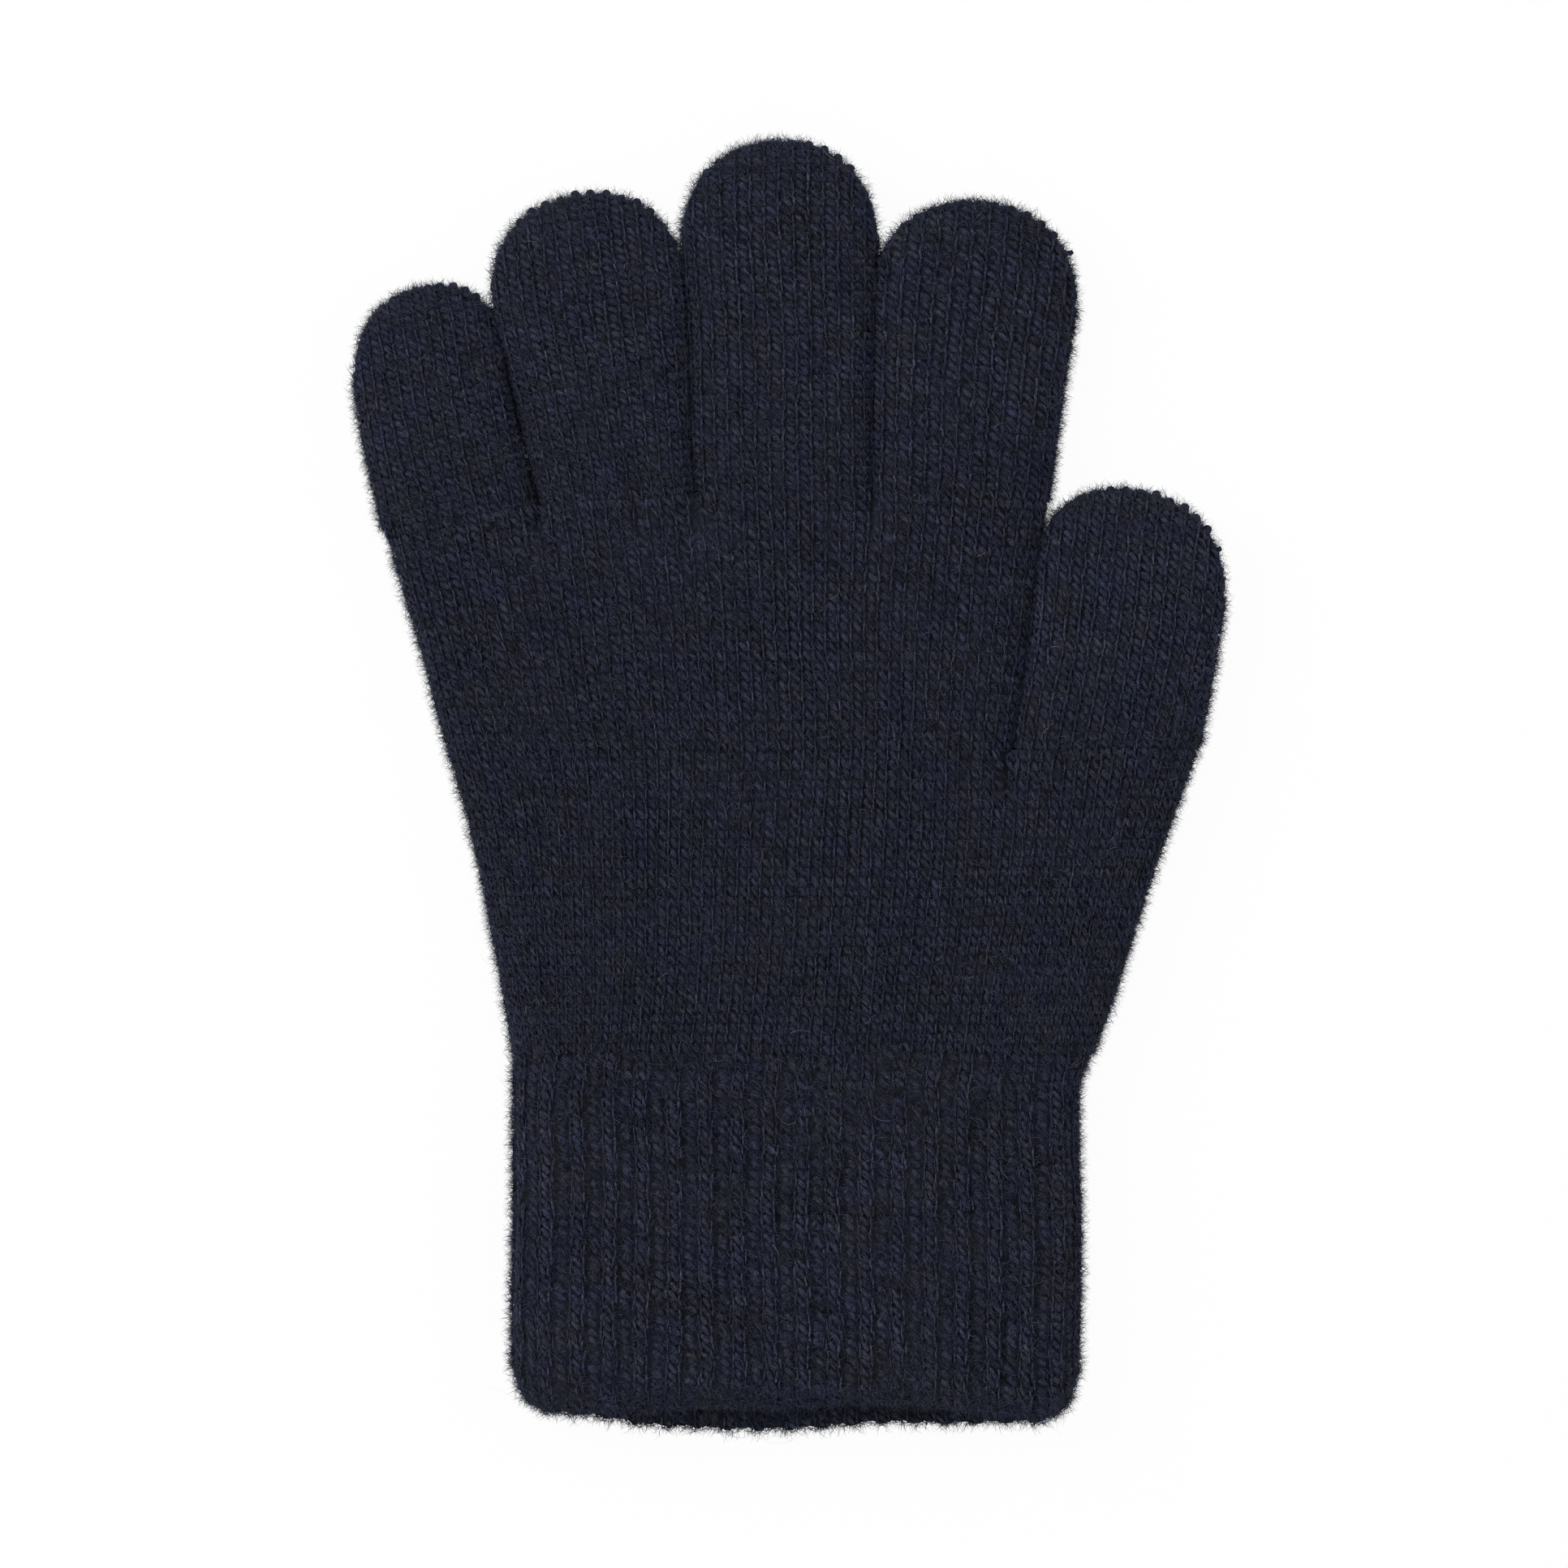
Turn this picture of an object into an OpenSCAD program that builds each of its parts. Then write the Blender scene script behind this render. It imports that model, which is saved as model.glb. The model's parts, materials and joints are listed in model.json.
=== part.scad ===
// Knitted five-finger glove of a small child, lying flat with the palm side up.
// +X goes to the thumb, +Y to the fingertips, +Z up. Sizes are in mm.
// Every section of the hand is a hollow knit tube. The lanes of the fingers share their boundary
// lines, so a change of one width moves its neighbours with it.

/* [Knit] */
// Thickness of the plain knit
knit_wall = 1.5; // [1:0.1:2.2]
// Height of the hand and the fingers as the glove lies
hand_height = 9; // [8:0.1:14]
// Roundness of a section, 2 is an ellipse
section_power = 2.8; // [2:0.1:4]
// Depth of the flat that the hand rests on
rest_flat = 0.4; // [0.2:0.05:0.8]
// Gap across a fold
fold_gap = 0.3; // [0.2:0.05:0.6]
// Gap between two neighbouring fingers
finger_gap = 0.6; // [0.4:0.05:1.2]

/* [Hand] */
// Level of the wrist fold, below the middle of the glove
wrist_y = -31.2; // [-40:0.1:-20]
// Level of the thumb fork
thumb_fork_y = 4; // [-2:0.1:12]
// Little finger side of the hand at the wrist
wrist_left_x = -31.7; // [-40:0.1:-24]
// Thumb side of the hand at the wrist
wrist_right_x = 35.6; // [28:0.1:44]
// Little finger side at the level of the thumb fork
fork_left_x = -39.2; // [-48:0.1:-32]
// Thumb fork, from the middle of the glove
thumb_fork_x = 25.6; // [20:0.1:30]
// Width of the thumb at its root
thumb_root_width = 21.3; // [16:0.1:27]
// Little finger side at the knuckle line
knuckle_left_x = -46.6; // [-54:0.1:-38]
// Highest point of the knuckle line
knuckle_top_y = 33.9; // [26:0.1:42]
// Where the knuckle line is highest, from the middle of the glove
knuckle_top_x = 3; // [-6:0.1:12]
// Radius of the knuckle line
knuckle_radius = 273; // [200:1:400]

/* [Finger widths at the roots] */
// Little finger
little_root_width = 18; // [14:0.1:23]
// Ring finger
ring_root_width = 18.4; // [14:0.1:23]
// Middle finger
middle_root_width = 20.4; // [16:0.1:25]
// Index finger
index_root_width = 19.7; // [16:0.1:25]

/* [Finger lengths] */
// Little finger, root to tip
little_length = 26.8; // [20:0.1:36]
// Ring finger
ring_length = 35.6; // [27:0.1:46]
// Middle finger
middle_length = 40.3; // [31:0.1:52]
// Index finger
index_length = 34.1; // [26:0.1:44]
// Thumb
thumb_length = 30.2; // [23:0.1:40]

/* [Fold lines, from the root] */
// Little finger
little_fold = 12; // [8:0.1:16]
// Ring finger
ring_fold = 16; // [11:0.1:20]
// Middle finger
middle_fold = 18.5; // [12:0.1:23]
// Index finger
index_fold = 15.5; // [11:0.1:19]
// Thumb
thumb_fold = 13.5; // [9:0.1:17]

/* [Leans of the lines between fingers] */
// Outer side of the little finger, degrees from straight
little_side_lean = -15.6; // [-20:0.1:-8]
// Little and ring finger
little_ring_lean = -13.9; // [-17:0.1:-6]
// Ring and middle finger
ring_middle_lean = -3.2; // [-6:0.1:0]
// Middle and index finger
middle_index_lean = 0.9; // [-2:0.1:4]
// Outer side of the index finger
index_side_lean = 7.7; // [3:0.1:8.4]
// Outer side of the thumb
thumb_side_lean = 12; // [9:0.1:18]

/* [Cuff] */
// Length of the cuff from the wrist fold to the mouth
cuff_length = 43.8; // [34:0.1:56]
// Width of the cuff
cuff_width = 65.9; // [54:0.1:72]
// Middle of the cuff, from the middle of the glove
cuff_middle_x = 1.3; // [-2:0.1:4]
// Height of the cuff as the glove lies
cuff_height = 11; // [10:0.1:16]
// Ribs round the cuff
rib_count = 38; // [25:1:45]
// Height of a rib
rib_height = 0.5; // [0.3:0.05:0.8]
// Thickness of the cuff under the ribs
cuff_wall = 1.1; // [0.8:0.1:1.6]
// How much shorter the palm side is at the mouth
mouth_step = 2.6; // [1:0.1:4]
// Rounding of the two corners of the mouth
mouth_corner = 2.8; // [1.5:0.1:4.5]
// How deep the welt is turned in
welt_depth = 13; // [8:0.1:18]
// Thickness of the welt
welt_wall = 0.8; // [0.6:0.05:1.1]
// Space for the elastic thread between cuff and welt
welt_gap = 0.75; // [0.65:0.05:1]
// Diameter of the elastic thread
elastic_d = 0.5; // [0.3:0.05:0.55]
// Turns of elastic thread
elastic_turns = 4; // [2:1:6]
// Distance from one turn to the next
elastic_pitch = 2.4; // [1.2:0.1:3]

/* [Closing yarn] */
// Diameter of the yarn of a tip seam
seam_d = 0.8; // [0.5:0.05:1.2]
// Gap from a tip seam to the fingertip under it
seam_gap = 0.1; // [0.05:0.05:0.3]
// Length of tip that a seam goes round, in degrees
seam_turn = 92; // [60:1:150]
// Radius of the bend in which a cut yarn end leaves its seam
yarn_end_bend = 2.5; // [1.5:0.1:4]
// How far that bend goes, in degrees
yarn_end_turn = 42; // [20:1:80]
// Diameter of a fork stitch
fork_stitch_d = 1.3; // [0.8:0.1:2]
// Gap from a fork stitch to the knit above and below
fork_stitch_gap = 0.25; // [0.1:0.05:0.4]

/* [Hidden] */
$fa = 6;
$fs = 0.3;
navy = "#21232e";
navy_dark = "#1a1b24";
sides = 24;
palm_sides = 44;
half_height = (hand_height + rest_flat) / 2;
middle_z = half_height - rest_flat;
half_gap = finger_gap / 2;
root_turn = 4;

// The knuckle line and the forks along it.
function knuckle_y(x) = knuckle_top_y - pow(x - knuckle_top_x, 2) / (2 * knuckle_radius);
function on_knuckles(x) = [x, knuckle_y(x)];
fork_0 = on_knuckles(knuckle_left_x);
fork_1 = on_knuckles(knuckle_left_x + little_root_width);
fork_2 = on_knuckles(fork_1.x + ring_root_width);
fork_3 = on_knuckles(fork_2.x + middle_root_width);
fork_4 = on_knuckles(fork_3.x + index_root_width);
thumb_fork = [thumb_fork_x, thumb_fork_y];
thumb_outer = [thumb_fork_x + thumb_root_width, thumb_fork_y];
// The thumb lies along the side of the hand, so their line runs from fork to fork.
thumb_palm_lean = atan((fork_4.x - thumb_fork.x) / (fork_4.y - thumb_fork.y));

// A lane is [left fork, right fork, left lean, right lean, length, fold, curved root].
little = [fork_0, fork_1, little_side_lean, little_ring_lean, little_length, little_fold, true];
ring = [fork_1, fork_2, little_ring_lean, ring_middle_lean, ring_length, ring_fold, true];
middle = [fork_2, fork_3, ring_middle_lean, middle_index_lean, middle_length, middle_fold, true];
index = [fork_3, fork_4, middle_index_lean, index_side_lean, index_length, index_fold, true];
thumb = [thumb_fork, thumb_outer, thumb_palm_lean, thumb_side_lean, thumb_length, thumb_fold, false];

function lean(f) = (f[2] + f[3]) / 2;
function along(f) = [sin(lean(f)), cos(lean(f))];
function across(f) = [cos(lean(f)), -sin(lean(f))];
function root(f) = (f[0] + f[1]) / 2;
function widen(f) = tan((f[3] - f[2]) / 2);
function root_half(f) = (f[1] - f[0]) * across(f) / 2 - half_gap;
function half_at(f, s) = root_half(f) + s * widen(f);
// The round of the tip starts where the rest of the length equals half the width.
function tip_start(f) = (f[4] - root_half(f)) / (1 + widen(f));
function tip_radius(f) = f[4] - tip_start(f);

// One section: a superellipse, cut flat where it would go below the floor.
function bent(v) = sign(v) * pow(abs(v), 2 / section_power);
function turn(i, n) = [bent(cos(360 * i / n)), bent(sin(360 * i / n))];
function lift(v, half, inset) = max(inset, middle_z + v * (half - inset));
function root_point(f, half, u) = f[6]
  ? let (x = root(f).x + half * u) [x, knuckle_y(x)]
  : [root(f).x + half * u, f[0].y];
function finger_point(f, s, half, u) =
  let (t = min(1, s / root_turn), flat_half = (f[1].x - f[0].x) / 2 - half_gap)
  let (from_root = root_point(f, flat_half * half / half_at(f, s), u) + along(f) * s)
  let (straight = root(f) + along(f) * s + across(f) * half * u)
  from_root * (1 - t) + straight * t;
function finger_ring(f, s, half, height, inset) = [
  for (i = [0:sides - 1])
    let (c = turn(i, sides), p = finger_point(f, s, half - inset, c.x))
      [p.x, p.y, lift(c.y, height, inset)]
];
function lower_rings(f, inset) = [
  for (k = [0:4])
    let (s = fold_gap / 2 + (f[5] - fold_gap) * k / 4)
      finger_ring(f, s, half_at(f, s), half_height, inset)
];
function tip_rings(f, inset) = [
  for (a = [0, 18, 36, 52, 66, 78])
    let (s = tip_start(f) + (tip_radius(f) - inset) * sin(a))
    let (half = inset + (tip_radius(f) - inset) * cos(a))
    let (height = inset + (half_height - inset) * pow(cos(a), 0.62))
      finger_ring(f, s, half, height, inset)
];
function upper_rings(f, inset) = concat(
  [for (k = [0:1]) let (s = f[5] + fold_gap / 2 + (tip_start(f) - f[5]) * k / 2)
    finger_ring(f, s, half_at(f, s), half_height, inset)],
  tip_rings(f, inset));
function tip_pole(f, inset) =
  let (p = root(f) + along(f) * (f[4] - inset)) [p.x, p.y, middle_z];

// Hollow tubes from rings of points, the far end open or closed.
function flat_list(rings) = [for (r = rings) each r];
function skin(first, rows, n, out) = [
  for (r = [0:rows - 2], i = [0:n - 1])
    let (a = first + r * n + i, b = first + r * n + (i + 1) % n)
      each out ? [[a, b, b + n], [a, b + n, a + n]] : [[a, b + n, b], [a, a + n, b + n]]
];
function rim(a, b, n, out) = [
  for (i = [0:n - 1])
    let (j = (i + 1) % n)
      each out ? [[a + i, b + i, b + j], [a + i, b + j, a + j]] : [[a + i, b + j, b + i], [a + i, a + j, b + j]]
];
function fan(first, pole, n, out) = [
  for (i = [0:n - 1])
    out ? [first + i, first + (i + 1) % n, pole] : [first + i, pole, first + (i + 1) % n]
];

module tube(outer, inner) {
  n = len(outer[0]);
  rows = len(outer);
  rows_in = len(inner);
  start = rows * n;
  polyhedron(concat(flat_list(outer), flat_list(inner)), concat(
    skin(0, rows, n, true), skin(start, rows_in, n, false),
    rim(0, start, n, true), rim((rows - 1) * n, start + (rows_in - 1) * n, n, false)));
}

module capped_tube(outer, inner, pole, pole_in) {
  n = len(outer[0]);
  rows = len(outer);
  start = rows * n;
  last = 2 * start;
  polyhedron(concat(flat_list(outer), flat_list(inner), [pole, pole_in]), concat(
    skin(0, rows, n, true), skin(start, rows, n, false), rim(0, start, n, true),
    fan(start - n, last, n, true), fan(last - n, last + 1, n, false)));
}

// The hand. A ring runs straight across, or curves with the knuckle line at the top.
function mix(a, b, t) = a * (1 - t) + b * t;
function hand_ring(left, right, level, inset) = [
  for (i = [0:palm_sides - 1])
    let (c = turn(i, palm_sides), x = mix(left + inset, right - inset, (c.x + 1) / 2))
      [x, level, lift(c.y, half_height, inset)]
];
function lower_palm_rings(inset) = [
  for (k = [0:3])
    hand_ring(mix(wrist_left_x, fork_left_x, k / 3), mix(wrist_right_x, thumb_outer.x, k / 3),
      mix(wrist_y, thumb_fork_y - fold_gap / 2, k / 3), inset)
];
function upper_palm_rings(inset) = [
  for (k = [0:3]) [
    for (i = [0:palm_sides - 1])
      let (c = turn(i, palm_sides), t = (c.x + 1) / 2)
      let (top = mix(fork_0.x + inset, fork_4.x - half_gap - inset, t))
      let (bottom = mix(fork_left_x + inset, thumb_fork_x - half_gap - inset, t))
        [mix(bottom, top, k / 3),
         mix(thumb_fork_y - fold_gap / 2, knuckle_y(top) - fold_gap / 2, k / 3),
         lift(c.y, half_height, inset)]
  ]
];

module lower_palm() {
  color(navy) tube(lower_palm_rings(0), lower_palm_rings(knit_wall));
}

module upper_palm() {
  color(navy) tube(upper_palm_rings(0), upper_palm_rings(knit_wall));
}

// Three stitches stand side by side under each fork, as tall as the hollow is there.
function hollow_half(x, left, right) =
  let (u = abs(2 * x - left - right) / (right - left - 2 * knit_wall))
    (half_height - knit_wall) * pow(1 - pow(u, section_power), 1 / section_power);

module fork_stitch(at, left, right) {
  for (k = [-1:1]) {
    x = at.x + k * fork_stitch_d * 0.8;
    side = sign(2 * x - left - right) * fork_stitch_d / 2;
    half = hollow_half(x + side, left, right);
    low = max(knit_wall, middle_z - half) + fork_stitch_gap;
    translate([x, at.y - fork_stitch_d, low])
      cylinder(d = fork_stitch_d, h = middle_z + half - fork_stitch_gap - low);
  }
}

module fork_stitches() {
  color(navy_dark) {
    for (p = [fork_1, fork_2, fork_3]) fork_stitch(p, fork_0.x, fork_4.x - half_gap);
    fork_stitch(thumb_fork, fork_left_x, thumb_outer.x);
  }
}

// The cuff. Ribs are spaced evenly along the outline, which is a flat oval.
function oval_length(w, h) = 2 * (w - h) + PI * h;
function oval(f, w, h) =
  let (flat = w - h, bend = PI * h / 2, d = f * oval_length(w, h))
    d < flat ? [d - flat / 2, -h / 2, 0, -1]
    : d < flat + bend ? let (a = 180 * (d - flat) / bend - 90)
      [flat / 2 + cos(a) * h / 2, sin(a) * h / 2, cos(a), sin(a)]
    : d < 2 * flat + bend ? [flat / 2 - (d - flat - bend), h / 2, 0, 1]
    : let (a = 180 * (d - 2 * flat - bend) / bend + 90)
      [cos(a) * h / 2 - flat / 2, sin(a) * h / 2, cos(a), sin(a)];
function rib_rise(k) = [0, 1, 1, 0][k] * rib_height;
function rib_place(k) = [0.06, 0.26, 0.6, 0.8][k];
cuff_top_y = wrist_y - fold_gap;
cuff_end_y = wrist_y - cuff_length;
// How far in the sides of the mouth come, d above its end.
function corner_in(d) = d < mouth_corner
  ? mouth_corner - sqrt(pow(mouth_corner, 2) - pow(mouth_corner - d, 2)) : 0;
// The cuff swells from the wrist to its full height.
function swell(d) = min(1, max(0, d / 6));
function cuff_tall(d) = mix(hand_height - 0.1, cuff_height, swell(d));
function slanted(y, z, share) = y + share * mouth_step * z / cuff_height;
function slant_share(y) = max(0, 1 - (y - cuff_end_y) / (2 * mouth_corner));
function cuff_ring(y, inset, ribbed) =
  let (d = cuff_top_y - y, tall = cuff_tall(d), narrow = corner_in(y - cuff_end_y))
  let (w = cuff_width - 2 * rib_height - 2 * narrow - 2 * inset)
  let (h = tall - 2 * rib_height - 2 * inset) [
    for (j = [0:rib_count - 1], k = [0:3])
      let (p = oval((j + rib_place(k)) / rib_count, w, h), rise = ribbed ? rib_rise(k) : 0)
      let (z = tall / 2 + p[1] + p[3] * rise)
        [cuff_middle_x + p[0] + p[2] * rise, slanted(y, z, slant_share(y)), z]
  ];
cuff_levels = [cuff_end_y, cuff_end_y + mouth_corner * 0.35, cuff_end_y + mouth_corner,
  cuff_top_y - 6, cuff_top_y];

module rib_cuff() {
  color(navy) tube([for (y = cuff_levels) cuff_ring(y, 0, true)],
    [for (y = cuff_levels) cuff_ring(y, cuff_wall, false)]);
}

// The welt lies inside the cuff and meets it with a lip at the mouth.
welt_end_y = cuff_end_y + 1.2;
welt_lip = 1.2;
function welt_ring(y, inset, squeeze) =
  let (d = cuff_top_y - y, tall = cuff_tall(d))
  let (narrow = corner_in(y - cuff_end_y) + rib_height + cuff_wall + inset)
  let (w = cuff_width - 2 * narrow, h = tall - 2 * (rib_height + cuff_wall + inset)) [
    for (i = [0:palm_sides - 1])
      let (p = oval(i / palm_sides, w, h), z = tall / 2 + p[1])
        [cuff_middle_x + p[0], slanted(y, z, squeeze), z]
  ];

module cuff_welt() {
  lip_in = 0.2;
  top = welt_end_y + welt_depth;
  share = slant_share(welt_end_y);
  color(navy_dark) tube(
    [welt_ring(welt_end_y, lip_in, share), welt_ring(welt_end_y + welt_lip * 0.9, lip_in, share),
     welt_ring(welt_end_y + welt_lip, welt_gap, share),
     welt_ring(welt_end_y + mouth_step + welt_lip, welt_gap, 0), welt_ring(top, welt_gap, 0)],
    [welt_ring(welt_end_y, welt_gap + welt_wall, share), welt_ring(top, welt_gap + welt_wall, 0)]);
}

// One turn of elastic thread: two straight runs and two half rings.
module elastic_turn(y) {
  inset = rib_height + cuff_wall + welt_gap / 2;
  h = cuff_height - 2 * inset;
  flat = cuff_width - 2 * inset - h;
  translate([cuff_middle_x, y, cuff_height / 2]) rotate([90, 0, 0]) {
    for (side = [-1, 1]) {
      translate([-flat / 2, side * h / 2, 0]) rotate([0, 90, 0]) cylinder(d = elastic_d, h = flat);
      translate([side * flat / 2, 0, 0]) rotate([0, 0, side * 90 - 180])
        rotate_extrude(angle = 180) translate([h / 2, 0]) circle(d = elastic_d);
    }
  }
}

module cuff_elastic() {
  first = welt_end_y + welt_lip + mouth_step;
  color("#dcdcd4") for (k = [0:elastic_turns - 1]) elastic_turn(first + 0.8 + k * elastic_pitch);
}

// Fingers
module finger_lower(f) {
  color(navy) tube(lower_rings(f, 0), lower_rings(f, knit_wall));
}

module finger_upper(f) {
  color(navy) capped_tube(upper_rings(f, 0), upper_rings(f, knit_wall), tip_pole(f, 0), tip_pole(f, knit_wall));
}

// A seam goes round the tip. A cut end leaves it at its thumb-side end.
module tip_seam(f, cut_end) {
  radius = tip_radius(f) + seam_gap + seam_d / 2;
  centre = root(f) + along(f) * tip_start(f);
  color(navy_dark) translate([centre.x, centre.y, middle_z]) rotate([0, 0, 90 - lean(f) - seam_turn / 2]) {
    rotate_extrude(angle = seam_turn) translate([radius, 0]) circle(d = seam_d);
    if (cut_end) translate([radius + yarn_end_bend, 0, 0]) rotate([0, 0, 180])
      rotate_extrude(angle = yarn_end_turn) translate([yarn_end_bend, 0]) circle(d = seam_d);
  }
}

module little_lower() { finger_lower(little); }
module little_upper() { finger_upper(little); }
module little_tip_seam() { tip_seam(little, false); }
module ring_lower() { finger_lower(ring); }
module ring_upper() { finger_upper(ring); }
module ring_tip_seam() { tip_seam(ring, false); }
module middle_lower() { finger_lower(middle); }
module middle_upper() { finger_upper(middle); }
module middle_tip_seam() { tip_seam(middle, false); }
module index_lower() { finger_lower(index); }
module index_upper() { finger_upper(index); }
module index_tip_seam() { tip_seam(index, true); }
module thumb_lower() { finger_lower(thumb); }
module thumb_upper() { finger_upper(thumb); }
module thumb_tip_seam() { tip_seam(thumb, true); }

lower_palm();
upper_palm();
fork_stitches();
rib_cuff();
cuff_welt();
cuff_elastic();
little_lower();
little_upper();
little_tip_seam();
ring_lower();
ring_upper();
ring_tip_seam();
middle_lower();
middle_upper();
middle_tip_seam();
index_lower();
index_upper();
index_tip_seam();
thumb_lower();
thumb_upper();
thumb_tip_seam();
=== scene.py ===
# %% [markdown]
# # A child's knitted glove, stitch by stitch
# The glove is navy, hairy and fine: about seven stitches to the centimetre. A flat colour with a bump
# would give the pattern but not the soft rims, so the yarn is modelled. One stitch is made once,
# repeated into a flat swatch as a knitting machine does, and the swatch is laid over the hand,
# the fingers and the cuff.

# %% Load the frame
import json
import math

import bpy
import numpy as np
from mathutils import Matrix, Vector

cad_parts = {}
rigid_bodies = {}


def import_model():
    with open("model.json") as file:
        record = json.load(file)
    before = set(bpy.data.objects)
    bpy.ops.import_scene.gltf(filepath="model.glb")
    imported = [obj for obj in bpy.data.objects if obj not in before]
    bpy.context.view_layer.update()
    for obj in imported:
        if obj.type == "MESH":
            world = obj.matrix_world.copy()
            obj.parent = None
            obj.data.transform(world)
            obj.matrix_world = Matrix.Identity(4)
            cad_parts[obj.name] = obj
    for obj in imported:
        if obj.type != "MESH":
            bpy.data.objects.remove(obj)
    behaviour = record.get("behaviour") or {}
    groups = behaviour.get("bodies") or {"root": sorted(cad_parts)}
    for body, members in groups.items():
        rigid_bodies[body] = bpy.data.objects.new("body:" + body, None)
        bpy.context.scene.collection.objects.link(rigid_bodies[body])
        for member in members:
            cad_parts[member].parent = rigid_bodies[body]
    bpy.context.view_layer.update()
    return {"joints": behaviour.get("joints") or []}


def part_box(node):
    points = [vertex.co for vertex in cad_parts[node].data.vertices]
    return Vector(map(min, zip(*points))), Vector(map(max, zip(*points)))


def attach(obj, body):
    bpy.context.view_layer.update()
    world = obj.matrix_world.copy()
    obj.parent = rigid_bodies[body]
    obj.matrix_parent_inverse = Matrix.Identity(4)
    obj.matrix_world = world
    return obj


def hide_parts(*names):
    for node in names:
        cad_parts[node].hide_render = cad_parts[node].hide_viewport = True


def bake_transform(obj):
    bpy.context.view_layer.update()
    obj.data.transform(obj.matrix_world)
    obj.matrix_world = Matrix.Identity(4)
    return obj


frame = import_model()
MM = 0.001
joints = {joint["name"]: joint for joint in frame["joints"]}

# %% [markdown]
# ## Camera, light and floor
# The photo looks straight down on the glove, on pure white. A long lens far away keeps the outline flat,
# as a copy stand does. The floor shows white to the camera and still takes a little of the glove's shadow.
# Its material, like the later ones, is built of shader nodes, which a few short functions add and wire.

# %% Camera
SENSOR_WIDTH = 36
PICTURE_WIDTH = 0.182
CAMERA_HEIGHT = 1.2
HAND_TOP = 0.009
bpy.ops.object.camera_add(location=(0, 0, CAMERA_HEIGHT), rotation=(0, 0, 0))
camera = bpy.context.object
camera.name = "camera"
camera.data.sensor_width = SENSOR_WIDTH
camera.data.lens = SENSOR_WIDTH * (CAMERA_HEIGHT - HAND_TOP / 2) / PICTURE_WIDTH
bpy.context.scene.camera = camera
bpy.context.scene.view_settings.view_transform = "Standard"
print("lens", round(camera.data.lens, 1), "mm")

# %% Light
WORLD_LEVEL = 0.55
world = bpy.data.worlds.new("studio")
world.use_nodes = True
world.node_tree.nodes["Background"].inputs["Color"].default_value = (1, 1, 1, 1)
world.node_tree.nodes["Background"].inputs["Strength"].default_value = WORLD_LEVEL
bpy.context.scene.world = world


def softbox(name, place, aim_turn, size, watts):
    bpy.ops.object.light_add(type="AREA", location=place, rotation=aim_turn)
    lamp = bpy.context.object
    lamp.name = name
    lamp.data.size = size
    lamp.data.energy = watts
    return lamp


softbox("softbox_left", (-0.75, 0.35, 0.75), (math.radians(-22), math.radians(-43), 0), 0.7, 7.5)
softbox("softbox_right", (0.8, 0.1, 0.9), (math.radians(-6), math.radians(41), 0), 0.8, 3.0)
print("lamps 2, world", WORLD_LEVEL)

# %% Shader nodes


def node(tree, kind, sockets=None, **settings):
    """A new shader node: its settings, and for each socket a value or the output that it is wired to."""
    made = tree.nodes.new("ShaderNode" + kind)
    for name, value in settings.items():
        setattr(made, name, value)
    for socket, value in (sockets or {}).items():
        if isinstance(value, bpy.types.NodeSocket):
            tree.links.new(value, made.inputs[socket])
        else:
            made.inputs[socket].default_value = value
    return made


def larger(tree, a, b):
    return node(tree, "Math", {0: a, 1: b}, operation="MAXIMUM").outputs[0]


def ramp(tree, value, low, high, *more):
    """A colour ramp; each stop is a position and a colour."""
    made = node(tree, "ValToRGB", {"Fac": value})
    elements = made.color_ramp.elements
    for element, (position, colour) in zip(elements, (low, high)):
        element.position = position
        element.color = (*colour, 1)
    for position, colour in more:
        elements.new(position).color = (*colour, 1)
    return made.outputs["Color"]


def mixed(tree, a, b, factor, way="MIX"):
    made = node(tree, "Mix", {"A": a, "B": b, "Factor": factor}, data_type="RGBA", blend_type=way)
    return made.outputs["Result"]


def new_material(name):
    made = bpy.data.materials.new(name)
    made.use_nodes = True
    return made


# %% Floor
FLOOR_SIZE = 6.0
FLOOR_DROP = 0.0003
FLOOR_SHADOW = 0.04
PAPER = (0.9, 0.9, 0.9, 1)
bpy.ops.mesh.primitive_plane_add(size=FLOOR_SIZE, location=(0, 0, -FLOOR_DROP))
floor = bpy.context.object
floor.name = "floor"
white_paper = new_material("white_paper")
paper = white_paper.node_tree
paper.nodes.clear()
matt = node(paper, "BsdfDiffuse", {"Color": PAPER}).outputs[0]
white = node(paper, "Emission", {"Strength": 1.0}).outputs[0]
seen = node(paper, "MixShader", {"Fac": FLOOR_SHADOW, 1: white, 2: matt}).outputs[0]
path = node(paper, "LightPath").outputs
eyes = larger(paper, path["Is Camera Ray"], path["Is Glossy Ray"])
eyes = larger(paper, eyes, path["Is Transmission Ray"])
choose = node(paper, "MixShader", {"Fac": eyes, 1: matt, 2: seen}).outputs[0]
node(paper, "OutputMaterial", {"Surface": choose})
floor.data.materials.append(white_paper)
print("floor", FLOOR_SIZE, "m")

# %% [markdown]
# ## Yarn and fibres
# The yarn is two plies of short dyed fibres. Up close it is streaky along its length, and from stitch to
# stitch it is a little lighter, bluer or more violet. Each stitch carries its own tone, and each strand
# has its own UV map, so the streaks follow the yarn and not the world.

# %% Yarn material
HAIR_TURNS = (-38, -12, 22, 65)
HAIRS_ACROSS = 1500.0
HAIRS_ALONG = 380.0
HAIR_WIDTH = 0.028
HAIR_SHOWS = 0.75
BLACK, WHITE = (0, 0, 0), (1, 1, 1)


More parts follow.
